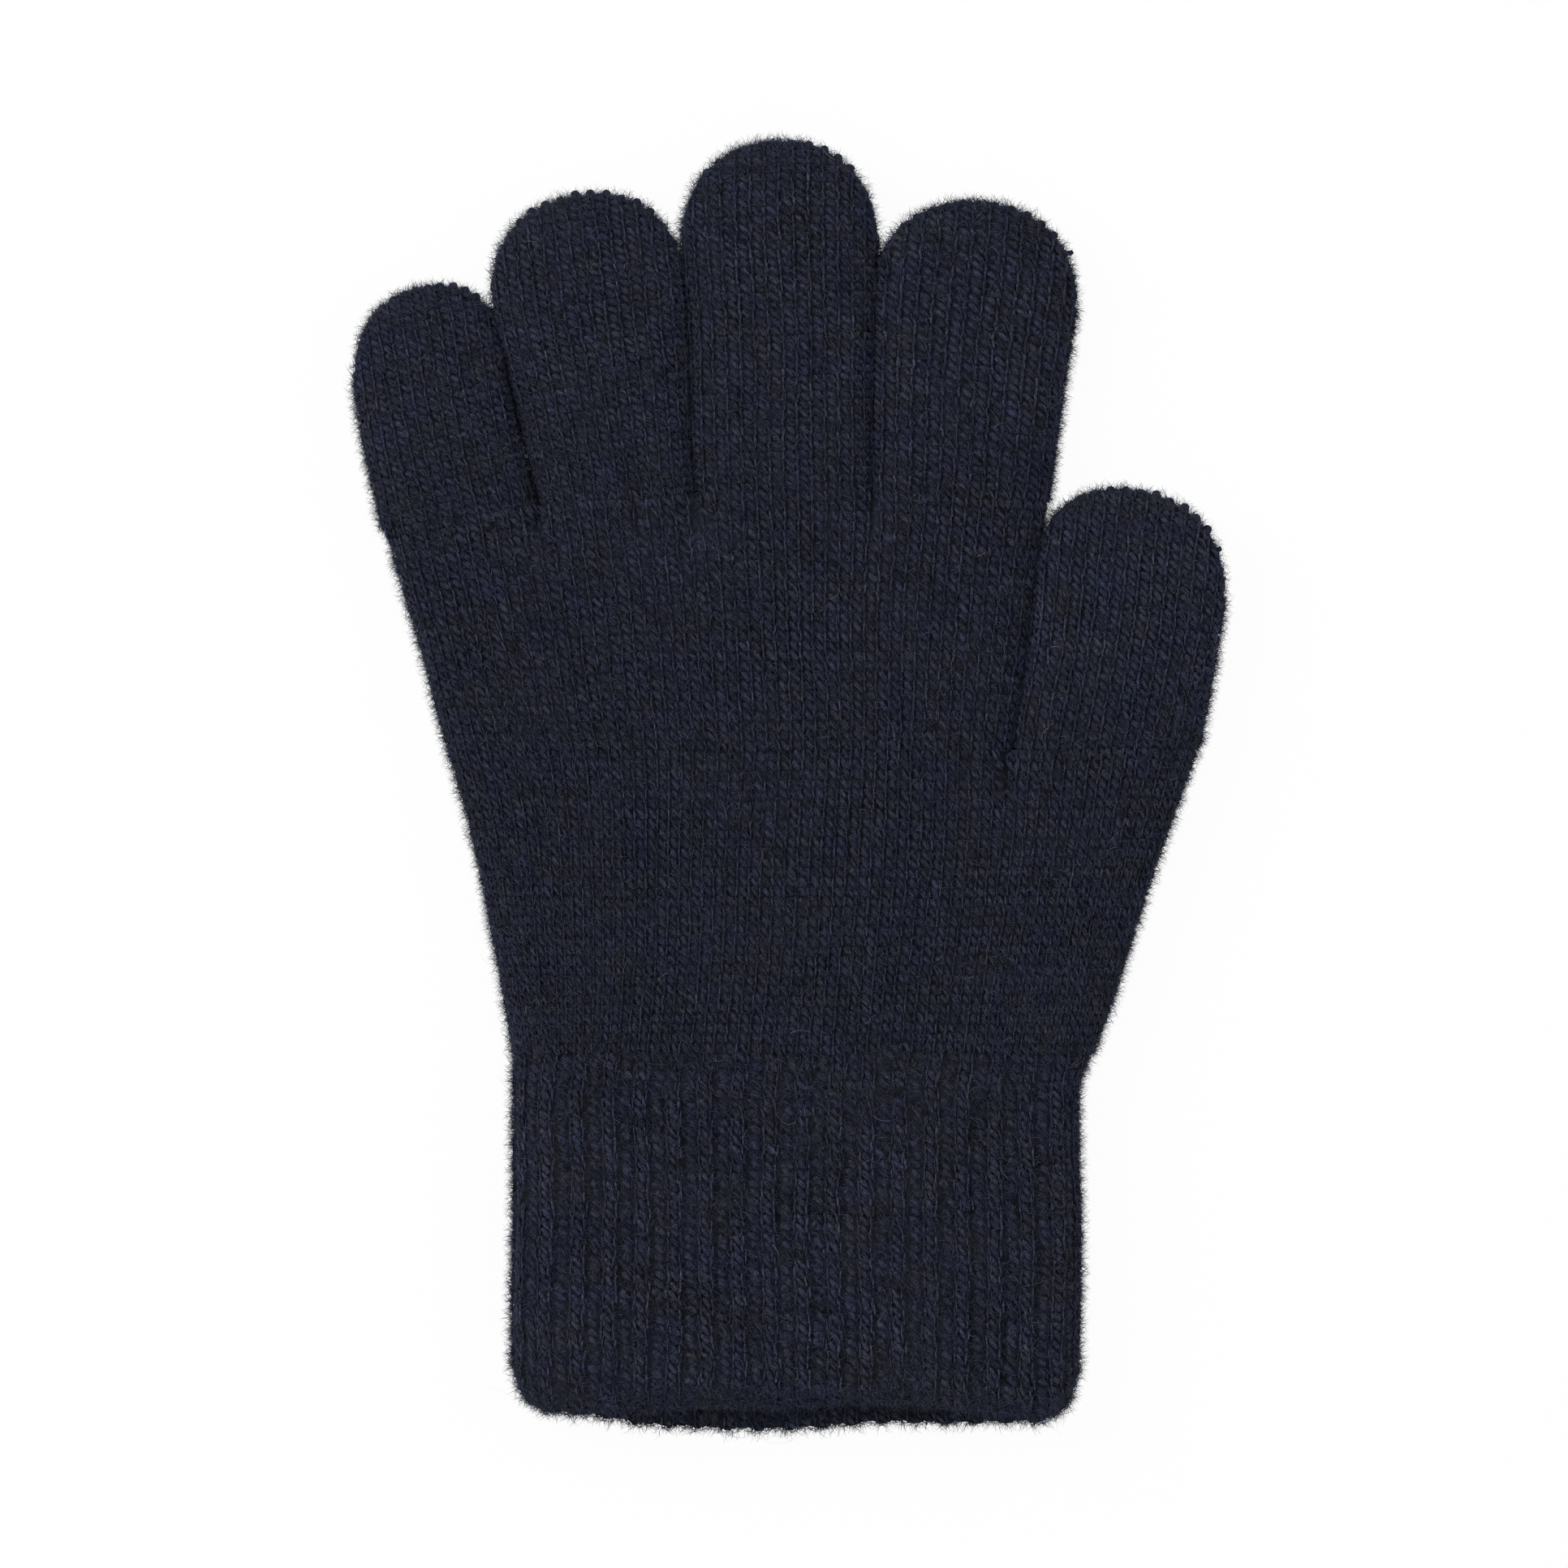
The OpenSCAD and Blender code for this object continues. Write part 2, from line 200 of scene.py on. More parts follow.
def hair_mat(tree, place):
    """Fine crossing lines, as of fibres that lie matted on the yarn."""
    lines = []
    for turn in HAIR_TURNS:
        aim = node(tree, "VectorRotate", {"Vector": place, "Angle": math.radians(turn)},
                   rotation_type="Z_AXIS")
        drawn = node(tree, "VectorMath", {0: aim.outputs[0], 1: (HAIRS_ACROSS, HAIRS_ALONG, HAIRS_ACROSS)},
                     operation="MULTIPLY")
        waves = node(tree, "TexNoise", {"Vector": drawn.outputs[0], "Scale": 1.0, "Detail": 1.0,
                                        "Distortion": 0.5})
        lines.append(ramp(tree, waves.outputs["Fac"], (0.5 - HAIR_WIDTH, BLACK), (0.5 + HAIR_WIDTH, BLACK),
                          (0.5, WHITE)))
    mat = lines[0]
    for line in lines[1:]:
        mat = larger(tree, mat, line)
    return node(tree, "Math", {0: mat, 1: HAIR_SHOWS}, operation="MULTIPLY").outputs[0]


YARN_SURFACE = {"Roughness": 0.92, "Specular IOR Level": 0.1, "Sheen Roughness": 0.55,
                "Sheen Tint": (0.55, 0.6, 0.85, 1)}
STREAK_SCALE = (6, 1.6, 1)
STREAK_APART = (31, 17, 53)
PATCHES_EACH_M = 260.0
STREAK_BUMP = 0.00012


def yarn_material(name, dark, light, sheen, hair=None):
    made = new_material(name)
    tree = made.node_tree
    shader = tree.nodes["Principled BSDF"]
    for socket, value in YARN_SURFACE.items():
        shader.inputs[socket].default_value = value
    shader.inputs["Sheen Weight"].default_value = sheen

    strand = node(tree, "UVMap", uv_map="UVMap").outputs["UV"]
    tone = node(tree, "Attribute", attribute_name="tone").outputs
    apart = node(tree, "VectorMath", {0: STREAK_APART, "Scale": tone["Fac"]}, operation="SCALE").outputs[0]
    along = node(tree, "VectorMath", {0: strand, 1: STREAK_SCALE, 2: apart}, operation="MULTIPLY_ADD")
    streaks = node(tree, "TexNoise", {"Vector": along.outputs[0], "Scale": 1.0, "Detail": 3.0}).outputs
    place = node(tree, "TexCoord").outputs["Object"]
    patches = node(tree, "TexNoise", {"Vector": place, "Scale": PATCHES_EACH_M, "Detail": 4.0}).outputs["Fac"]
    violet = ramp(tree, patches, (0.35, (1.0, 0.97, 0.9)), (0.7, (0.9, 0.95, 1.16)))
    flecks = node(tree, "VectorMath", {0: streaks["Color"], "Scale": 2.0}, operation="SCALE").outputs[0]

    colour = ramp(tree, streaks["Fac"], (0.4, dark), (0.62, light))
    if hair:
        colour = mixed(tree, colour, (*hair, 1), hair_mat(tree, place))
    for layer, factor in ((violet, 1.0), (flecks, 0.35), (tone["Color"], 1.0)):
        colour = mixed(tree, colour, layer, factor, "MULTIPLY")
    tree.links.new(colour, shader.inputs["Base Color"])
    bump = node(tree, "Bump", {"Height": streaks["Fac"], "Strength": 0.5, "Distance": STREAK_BUMP})
    tree.links.new(bump.outputs[0], shader.inputs["Normal"])
    return made


NAVY = ((0.0045, 0.0049, 0.0080), (0.014, 0.0152, 0.0255))
LINT = (0.043, 0.0472, 0.075)
SHADED_LINT = (0.026, 0.0285, 0.045)
knit_yarn = yarn_material("navy_yarn", *NAVY, 0.04, LINT)
rib_yarn = yarn_material("navy_rib_yarn", *NAVY, 0.04, LINT)
seam_yarn = yarn_material("navy_closing_yarn", (0.007, 0.008, 0.013), (0.026, 0.029, 0.046), 0.03, LINT)
# The inner layer's yarn and lint are darker than the navy yarn: painted shade for the gaps between the
# stitches.
shaded_inner_yarn = yarn_material("navy_inside_painted_shade", (0.004, 0.0044, 0.0072), (0.009, 0.0099, 0.016), 0.0, SHADED_LINT)
fibre_hair = yarn_material("navy_fibre", (0.028, 0.034, 0.054), (0.062, 0.074, 0.112), 0.05)
light_hair = yarn_material("light_fibre", (0.050, 0.056, 0.075), (0.105, 0.115, 0.140), 0.05)
pale_hair = yarn_material("pale_fibre", (0.20, 0.20, 0.22), (0.36, 0.36, 0.38), 0.05)
print("yarn finishes", 7)

# %% [markdown]
# ## One stitch
# In plain knit each stitch shows two legs. In this yarn the left leg lies slanted, as in a backslash,
# and the right leg stands almost upright and shows as a thin light line between the columns. A leg starts
# as a small ball, is drawn out along its slope, and its two ends are pushed under, where the next stitch
# holds them down. A few dozen faces are enough, because there are thousands of them.

# %% Legs of a stitch
WALE = 1.44
COURSE = 1.13
LEG_SEGMENTS = 5
LEG_RINGS = 3
LEG_POINTS = LEG_SEGMENTS * (LEG_RINGS - 1) + 2


def only(ob):
    bpy.ops.object.select_all(action="DESELECT")
    ob.select_set(True)
    bpy.context.view_layer.objects.active = ob


def edit_points(ob, chosen):
    """Goes into edit mode with only these points selected."""
    ob.data.vertices.foreach_set("select", chosen)
    for kind in (ob.data.edges, ob.data.polygons):
        kind.foreach_set("select", [False] * len(kind))
    bpy.ops.object.mode_set(mode="EDIT")
    bpy.ops.mesh.select_mode(type="VERT")


def leg(x, y, half_long, half_wide, half_thick, slope, tuck, z=0.0):
    """A leg of yarn in mm: an oval ball along its slope, with its ends tucked under."""
    bpy.ops.mesh.primitive_uv_sphere_add(segments=LEG_SEGMENTS, ring_count=LEG_RINGS, radius=1)
    ob = bpy.context.object
    far = [abs(v.co.z) > 0.9 for v in ob.data.vertices]
    ob.scale = (half_wide * MM, half_thick * MM, half_long * MM)
    ob.rotation_euler = (math.radians(-90), 0, math.radians(slope))
    ob.location = (x * MM, y * MM, z * MM)
    bpy.ops.object.transform_apply()
    edit_points(ob, far)
    bpy.ops.transform.translate(value=(0, 0, -tuck * MM))
    bpy.ops.object.mode_set(mode="OBJECT")
    return ob


def joined(name, pieces):
    bpy.ops.object.select_all(action="DESELECT")
    for ob in pieces:
        ob.select_set(True)
    bpy.context.view_layer.objects.active = pieces[0]
    if len(pieces) > 1:
        bpy.ops.object.join()
    pieces[0].name = name
    pieces[0].data.name = name
    return pieces[0]


plain_stitch = joined("plain_stitch", [
    leg(-0.12, 0, 0.90, 0.34, 0.25, 38, 0.26),
    leg(0.52, 0, 0.84, 0.12, 0.18, 3, 0.14, 0.05),
])
RIB = 3.8
rib_stitch = joined("rib_stitch", [
    leg(0.62, 0, 0.94, 0.35, 0.26, 38, 0.26),
    leg(1.36, 0, 0.84, 0.12, 0.18, 2, 0.12, 0.06),
    leg(-0.06, 0, 0.82, 0.12, 0.16, 4, 0.12, 0.02),
    leg(-1.10, 0.1, 0.92, 0.46, 0.20, 46, 0.16, -0.04),
])
for stitch in (plain_stitch, rib_stitch):
    print(stitch.name, "points", len(stitch.data.vertices), "faces", len(stitch.data.polygons))

# %% [markdown]
# ## From a stitch to a swatch
# Two Array modifiers, one along the row and one up the columns, knit a flat swatch. A swatch knows each
# stitch by its place in the vertex order, so every stitch can be nudged, turned and toned a little before
# the swatch is laid over the shape of the hand.

# %% Swatch helpers
random = np.random.default_rng(20)


def mix(a, b, t):
    return a * (1 - t) + b * t


def ease(t):
    t = np.clip(t, 0, 1)
    return t * t * (3 - 2 * t)


def swatch(stitch, across, up, size):
    ob = stitch.copy()
    ob.data = stitch.data.copy()
    bpy.context.collection.objects.link(ob)
    only(ob)
    for count, step in ((across, (size[0] * MM, 0, 0)), (up, (0, size[1] * MM, 0))):
        rows = ob.modifiers.new("rows", "ARRAY")
        rows.count = count
        rows.use_relative_offset = False
        rows.use_constant_offset = True
        rows.constant_offset_displace = step
        bpy.ops.object.modifier_apply(modifier=rows.name)
    return ob


def points_of(mesh):
    flat = np.empty(len(mesh.vertices) * 3)
    mesh.vertices.foreach_get("co", flat)
    return flat.reshape(-1, 3) / MM


def set_points(mesh, places):
    mesh.vertices.foreach_set("co", (places * MM).ravel())
    mesh.update()


HUE_SPREAD = np.array([0.17, 0.07, 0.20])
TONE_LIMITS = (0.45, 1.9)


def tones(number, spread):
    """A tone for each stitch or fibre: mostly lighter or darker, a little bluer or redder."""
    light = np.clip(random.normal(1, spread, number), *TONE_LIMITS)[:, None]
    return light * (1 + spread * HUE_SPREAD * random.normal(0, 1, (number, 3)))


def set_tone(mesh, tone):
    """The tone is a colour on each point, which the yarn's colour is multiplied by."""
    layer = mesh.color_attributes.new("tone", "FLOAT_COLOR", "POINT")
    colour = np.concatenate([tone, np.ones((len(tone), 1))], axis=1)
    layer.data.foreach_set("color", colour.ravel())


LEG_CELLS = (0.0, 0.9)
FIBRE_CELLS = (0.91, 1.07)
CELL_RIM = 0.08


def bake_cells(mesh, cell, cells, band):
    """A second UV map gives every leg a square of its own, into which colours can be baked."""
    corner = np.empty(len(mesh.loops), dtype=int)
    mesh.loops.foreach_get("vertex_index", corner)
    strand = np.empty(len(mesh.loops) * 2)
    mesh.uv_layers["UVMap"].data.foreach_get("uv", strand)
    strand = np.clip(strand.reshape(-1, 2), 0, 1)
    side = math.ceil(math.sqrt(cells))
    column, row = cell[corner] % side, cell[corner] // side
    u, v = (mix(CELL_RIM, 1 - CELL_RIM, strand) + np.stack([column, row], axis=1)).T / side
    layer = mesh.uv_layers.new(name="OFBake")
    layer.data.foreach_set("uv", np.stack([u, mix(*band, v)], axis=1).ravel())


# %% [markdown]
# ## The shape of the hand
# Every section of the glove is a flat tube: level in the middle and rounded at its two rims. The rounding
# is a table of depth, height and length along the surface, so that the columns keep their spacing where
# they go round a rim. The palm side has face +1, the back has face -1.

# %% Sections
MIDDLE_Z = 4.3
YARN_IN = 0.45
THUMB_SIDE_OUT = 0.6
LITTLE_SIDE_IN = 0.9
KNIT_RISE = {1: 4.7 - YARN_IN, -1: 4.3 - YARN_IN}
RIM_REACH = 8.0
RIM_POWER = 2.6


def rounded_rim(reach, power, rise):
    depth = reach * np.linspace(0, 1, 240) ** 2
    height = rise * (1 - (1 - depth / reach) ** power) ** (1 / power)
    steps = np.hypot(np.diff(depth), np.diff(height))
    return depth, height, np.concatenate([[0.0], np.cumsum(steps)])


def section(share, width, rim):
    """Place across a tube and height, from the share of the way round from rim to rim."""
    depth, height, length = rim
    total = 2 * length[-1] + width - 2 * depth[-1]
    way = share * total
    from_rim = np.minimum(way, total - way)
    turned = np.sign(from_rim) + (from_rim == 0)
    from_rim = np.abs(from_rim)
    inwards = np.interp(from_rim, length, depth) + np.maximum(from_rim - length[-1], 0)
    x = np.where(way < total / 2, inwards, width - inwards)
    return x, turned * np.interp(from_rim, length, height)


def crease(away, reach):
    """1 in the bottom of a crease, 0 from reach on."""
    t = np.clip(np.abs(away) / reach, 0, 1)
    return 1 - (1 - (1 - t) ** RIM_POWER) ** (1 / RIM_POWER)


def facing(share, face):
    return share if face > 0 else 1 - share


def stacked(x, y, z):
    return np.stack([x, y, z], axis=-1)


RIMS = {face: rounded_rim(RIM_REACH, RIM_POWER, rise) for face, rise in KNIT_RISE.items()}
print("length round a rim", round(RIMS[1][2][-1], 2), "mm")

# %% [markdown]
# ## Lower and upper palm
# The hand widens from the wrist to the level of the thumb. Its columns stand upright in the middle and
# lean with the two edges, and near the wrist the ones at the edges are pressed closer together. Towards
# each fork the surface dips into a crease, because front and back are closed there.

# %% Palm surfaces
low, high = (np.array(corner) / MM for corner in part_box("lower_palm"))
WRIST_Y, THUMB_LEVEL = low[1], high[1]
FORK_LEFT, FORK_RIGHT = low[0], high[0]
WRIST_LEFT, WRIST_RIGHT = -31.7, 35.6
THUMB_FORK_X = 25.6
upper_low, upper_high = (np.array(corner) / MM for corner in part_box("upper_palm"))
KNUCKLE_LEFT, KNUCKLE_RIGHT = upper_low[0], upper_high[0]
KNUCKLE_TOP = (3.0, 33.9)
KNUCKLE_RADIUS = 273.0
FORKS_X = (-28.6, -10.2, 10.2)
LOWER_WALES, LOWER_COURSES = 65, 31
UPPER_WALES, UPPER_COURSES = 50, 26
WRIST_SQUEEZE = 0.26
FORK_DIP = 8.0
LEFT_BOW = 0.8
THUMB_CREASE, FINGER_CREASE = 5.5, 5.0
RIM_TURNED = RIMS[1][2][-1] - RIM_REACH
PITCH = (FORK_RIGHT + THUMB_SIDE_OUT - FORK_LEFT - YARN_IN + 2 * RIM_TURNED) / LOWER_WALES
FORK_WIDTH = UPPER_WALES * PITCH - 2 * RIM_TURNED
KNUCKLE_WIDTH = KNUCKLE_RIGHT + THUMB_SIDE_OUT - KNUCKLE_LEFT - LITTLE_SIDE_IN


def knuckle_y(x):
    return KNUCKLE_TOP[1] - (x - KNUCKLE_TOP[0]) ** 2 / (2 * KNUCKLE_RADIUS)


def lower_palm(face):
    def place(p, q):
        t = q / LOWER_COURSES
        share = facing(p / LOWER_WALES, face)
        share = share - WRIST_SQUEEZE * (1 - t) * np.sin(2 * np.pi * share) / (2 * np.pi)
        left = mix(WRIST_LEFT, FORK_LEFT, t) + YARN_IN + 4 * LEFT_BOW * t * (1 - t)
        right = mix(WRIST_RIGHT, FORK_RIGHT + THUMB_SIDE_OUT, t)
        x, rise = section(share, right - left, RIMS[face])
        x = x + left
        y = mix(WRIST_Y, THUMB_LEVEL, t)
        rise = rise * (1 - crease(x - THUMB_FORK_X, THUMB_CREASE) * ease(1 - (THUMB_LEVEL - y) / FORK_DIP))
        return stacked(x, y, MIDDLE_Z + face * rise)
    return place


def upper_palm(face):
    def place(p, q):
        t = q / UPPER_COURSES
        share = facing(p / UPPER_WALES, face)
        bottom, low_rise = section(share, FORK_WIDTH, RIMS[face])
        top, top_rise = section(share, KNUCKLE_WIDTH, RIMS[face])
        top = top + KNUCKLE_LEFT + LITTLE_SIDE_IN
        x = mix(bottom + FORK_LEFT + YARN_IN, top, t)
        y = mix(THUMB_LEVEL, knuckle_y(top), t)
        rise = mix(low_rise, top_rise, t)
        for fork in FORKS_X:
            rise = rise * (1 - crease(x - fork, FINGER_CREASE) * ease(1 - (knuckle_y(x) - y) / FORK_DIP))
        return stacked(x, y, MIDDLE_Z + face * rise)
    return place


print("palm from", round(WRIST_Y, 1), "to", round(THUMB_LEVEL, 1), "mm, knuckles at", KNUCKLE_TOP[1], "mm")

# %% [markdown]
# ## Fingers
# A finger is a lane that widens a little towards a round tip. Its root follows the knuckle line and its
# rows soon run straight across. At the tip the columns simply run on until they meet the rim, where the
# closing seam takes them up. Roots, fold lines and directions come from the joints of the frame. The
# phase shifts a finger's columns a little, so that they go on from those of the palm. The soft sides lie
# a little to the right or left of the frame's, in mm, and lean draws a tip over, as in the photo. Level is
# how much lighter the yarn of a finger looks than that of the palm.

# %% Finger surfaces
FINGER_COURSE = 0.97
ROOT_TURN = 4.0
SIDE_IN = -0.2
FINGER_SIZES = ("length", "root_half", "widen", "wales", "sides", "lean", "level")
FINGERS = {
    "little": (26.8, 8.74, 0.015, 15, (0.45, -0.2), 1.7, 1.19),
    "ring": (35.6, 8.91, 0.094, 17, (0.5, 0.0), 0.3, 1.19),
    "middle": (40.5, 9.90, 0.036, 16, (-0.1, 0.1), 0.1, 1.19),
    "index": (34.1, 9.57, 0.059, 15, (-0.6, 0.7), 0.1, 1.19),
    "thumb": (30.2, 10.18, 0.030, 17, (0.6, 0.9), -0.9, 1.36),
}
FINGERS = {name: dict(zip(FINGER_SIZES, sizes)) for name, sizes in FINGERS.items()}
TIP_POWER = 2.2
for name, f in FINGERS.items():
    f["root"] = np.array(joints[name + "_root_fold"]["pos_m"][:2]) / MM
    f["across"] = np.array(joints[name + "_middle_fold"]["axis"][:2])
    f["along"] = np.array([-f["across"][1], f["across"][0]])
    fold_place = np.array(joints[name + "_middle_fold"]["pos_m"][:2]) / MM
    f["fold"] = float(np.dot(fold_place - f["root"], f["along"]))
    f["tip_start"] = (f["length"] - f["root_half"]) / (1 + f["widen"])
    f["tip_radius"] = f["length"] - f["tip_start"] - SIDE_IN
    f["fold_row"] = round(f["fold"] / FINGER_COURSE)
    way = f["length"] - SIDE_IN - RIM_REACH + RIMS[1][2][-1]
    f["rows"] = math.ceil(way / FINGER_COURSE)
    if name == "thumb":
        left, right, wales = FORK_LEFT + YARN_IN, FORK_RIGHT + THUMB_SIDE_OUT, LOWER_WALES
    else:
        left, right, wales = KNUCKLE_LEFT + LITTLE_SIDE_IN, KNUCKLE_RIGHT + THUMB_SIDE_OUT, UPPER_WALES
    column = wales * (f["root"][0] - left + RIM_TURNED) / (right - left + 2 * RIM_TURNED)
    f["phase"] = {1: (f["wales"] / 2 - column + 0.5) % 1 - 0.5, -1: (f["wales"] / 2 + column + 0.5) % 1 - 0.5}


def lane_width(f, s):
    return 2 * (f["root_half"] + f["widen"] * np.minimum(s, f["tip_start"]) - SIDE_IN)


def tip_reach(f, x):
    """How far a tip reaches beyond its start, at a place across."""
    room = np.maximum(f["tip_radius"] ** TIP_POWER - np.abs(x) ** TIP_POWER, 0)
    return room ** (1 / TIP_POWER)


def finger_lane(f, face, p, q):
    """Place across and along a finger, and height, before it is turned to its direction."""
    depth, height, length = RIMS[face]
    way = q * FINGER_COURSE
    end = f["length"] - SIDE_IN
    left_over = end - RIM_REACH + length[-1] - way
    s = np.where(left_over > length[-1], way, end - np.interp(left_over, length, depth))
    width = lane_width(f, s)
    x, rise = section(facing((p + f["phase"][face]) / f["wales"], face), width, RIMS[face])
    x = x - width / 2
    beyond = np.minimum(np.maximum(s - f["tip_start"], 0), tip_reach(f, x))
    s = np.where(s > f["tip_start"], f["tip_start"] + beyond, s)
    from_middle = (np.abs(x) ** TIP_POWER + beyond ** TIP_POWER) ** (1 / TIP_POWER)
    from_rim = np.maximum(f["tip_radius"] - from_middle, 0)
    rise = np.where(beyond > 0, np.interp(from_rim, depth, height), rise)
    return x, s, rise


def finger(name, face):
    f = FINGERS[name]

    def place(p, q):
        x, s, rise = finger_lane(f, face, p, q)
        x = x + mix(*f["sides"], 0.5 + x / (2 * f["tip_radius"])) + f["lean"] * ease(s / f["length"]) ** 2
        straight = f["root"] + s[..., None] * f["along"] + x[..., None] * f["across"]
        root_x = f["root"][0] + x
        root_y = knuckle_y(root_x) if name != "thumb" else np.full_like(x, f["root"][1])
        curved = np.stack([root_x, root_y], axis=-1) + s[..., None] * f["along"]
        flat = mix(curved, straight, ease(s / ROOT_TURN)[..., None])
        return stacked(flat[..., 0], flat[..., 1], MIDDLE_Z + face * rise)
    return place


for name, f in FINGERS.items():
    print(name, "rows", f["rows"], "fold at", f["fold_row"], "tip radius", round(f["tip_radius"], 1), "mm")

# %% [markdown]
# ## Cuff
# The cuff is one-by-one rib: a column that stands up, then one that sinks back. It starts where the palm
# ends, a little narrower, and swells. At the mouth the fabric turns inwards as a soft welt. The
# back is longer than the palm side, so that it peeks out below. Rows are counted from the mouth upwards,
# and rows below zero roll round the mouth and go inside.

# %% Cuff surface
cuff_low, cuff_high = (np.array(corner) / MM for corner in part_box("rib_cuff"))
CUFF_TOP = WRIST_Y
RIBS = 19
CUFF_COURSE = 1.09
MOUTH_ROLL = 1.0
FRONT_EDGE = ((-33, -72.6), (-17, -72.3), (-3, -71.7), (11, -71.4), (20, -72.1), (28, -73.2), (34, -73.2))
BACK_EDGE = ((-33, -72.6), (-22, -73.5), (-16, -74.6), (-7, -75.1), (2, -74.8), (11, -74.4), (34, -74.0))
CUFF_ROWS = 38
SWELL = 6.0
CUFF_RISE = (cuff_high[2] - cuff_low[2]) / 2 - YARN_IN - 0.3
CUFF_MIDDLE_Z = (cuff_high[2] + cuff_low[2]) / 2
CORNER_WIDE, CORNER_HIGH = 5.1, 6.8
RIB_RELIEF = 0.17
RIB_STARTS = 5.0
RIB_CREST = 0.72
ROLL_FADE = 4
MOUTH_WAVE = 0.2
CUFF_RIGHT_IN = 0.25
WELT_ROWS = 12
CUFF_RIM_REACH, CUFF_RIM_POWER = 5.4, 2.1
WRIST_TUCK, CUFF_WIDENS = 0.2, 4.5
cuff_rim = rounded_rim(CUFF_RIM_REACH, CUFF_RIM_POWER, CUFF_RISE)


def rib_relief(p, q):
    """The ribs stand out, and fade at the wrist and where the welt rolls in."""
    fade = ease((q + 0.5) / ROLL_FADE) * ease((CUFF_ROWS - q) / RIB_STARTS)
    return RIB_RELIEF * np.cos(2 * np.pi * (p - RIB_CREST)) * fade


def mouth_y(x, face, p):
    """Where the mouth's edge lies: rounded corners, and a longer back."""
    inwards = np.minimum(x - cuff_low[0], cuff_high[0] - x)
    gap = np.clip(1 - inwards / CORNER_WIDE, 0, 1)
    corner = CORNER_HIGH * (1 - np.sqrt(1 - gap ** 2))
    edge = np.interp(x, *zip(*(FRONT_EDGE if face > 0 else BACK_EDGE)))
    return edge + MOUTH_ROLL + corner - MOUTH_WAVE * np.cos(2 * np.pi * (p - RIB_CREST))


def cuff(face):
    def place(p, q):
        below = np.maximum(-q, 0) * CUFF_COURSE
        turn = np.minimum(below / MOUTH_ROLL, np.pi)
        inside = MOUTH_ROLL * (1 - np.cos(turn))
        over = MOUTH_ROLL * np.sin(turn) - (below - turn * MOUTH_ROLL)
        t = np.maximum(q, 0) / CUFF_ROWS
        share = facing(p / RIBS, face)
        guess = mix(cuff_low[0], cuff_high[0], np.clip(share, 0, 1))
        down = (1 - t) * (CUFF_TOP - mouth_y(guess, face, p))
        swell = ease(down / SWELL)
        left = cuff_low[0] + YARN_IN + inside
        right = mix(WRIST_RIGHT - WRIST_TUCK, cuff_high[0], ease(down / CUFF_WIDENS)) - CUFF_RIGHT_IN - inside
        x_wrist, rise_wrist = section(share, right - left, RIMS[face])
        x_cuff, rise_cuff = section(share, right - left, cuff_rim)
        x = left + mix(x_wrist, x_cuff, swell)
        rise = mix(rise_wrist, rise_cuff * (CUFF_RISE - inside) / CUFF_RISE, swell)
        y = mix(mouth_y(x, face, p), CUFF_TOP, t) - over
        return stacked(x, y, mix(MIDDLE_Z, CUFF_MIDDLE_Z, swell) + face * rise)
    return place


print("cuff", np.round(cuff_high - cuff_low, 1), "mm,", RIBS, "ribs on each face")

# %% [markdown]
# ## Laying the knit
# Knit is never quite even, so the laid surface gets slow swells, and each stitch is shifted, turned and
# toned a little. The swell depends only on the place, so neighbouring pieces still meet. Under the yarn
# lies a dark inner layer, the backs of the same stitches, which keeps daylight out. Its yarn is painted
# darker than the stitches, as painted shade between them.

# %% Laying helpers


def uneven(places):
    """Slow swells of a soft fabric, in mm."""
    x, y, z = places[..., 0], places[..., 1], places[..., 2]
    side = 0.10 * np.sin(x / 7.3 + y / 6.1) + 0.06 * np.sin(y / 3.7 - x / 11.0)
    up = 0.12 * np.sin(x / 4.9 - y / 6.7) + 0.08 * np.sin(x / 2.9 + y / 9.1)
    rise = 0.17 * np.sin(x / 6.1 + 1.3 * np.sin(y / 8.3)) + 0.13 * np.sin(y / 4.3 - x / 9.7)
    facing_up = np.clip((z - MIDDLE_Z) / 3.0, -1, 1)
    return places + stacked(side, up, rise * facing_up - 0.2 * np.abs(facing_up))


def frame_at(surface, p, q):
    """Places on a surface with their outward and sideways directions."""
    step = 0.06
    place = uneven(surface(p, q))
    over = uneven(surface(p + step, q)) - uneven(surface(p - step, q))
    along = uneven(surface(p, q + step)) - uneven(surface(p, q - step))
    out = np.cross(over, along)
    out = out / np.maximum(np.linalg.norm(out, axis=-1, keepdims=True), 1e-9)
    over = over / np.maximum(np.linalg.norm(over, axis=-1, keepdims=True), 1e-9)
    return place, out, over


ROUGH = 0.045
STITCH_TURN = 0.075
STITCH_GROW = 0.06
STITCH_SHIFT = (0.035, 0.045)
STITCH_LIFT = 0.045
STITCH_TONE = 0.17
WELT_FLAT = 0.55
TABLE_GAP = 0.03
UNDER_YARN = 0.1


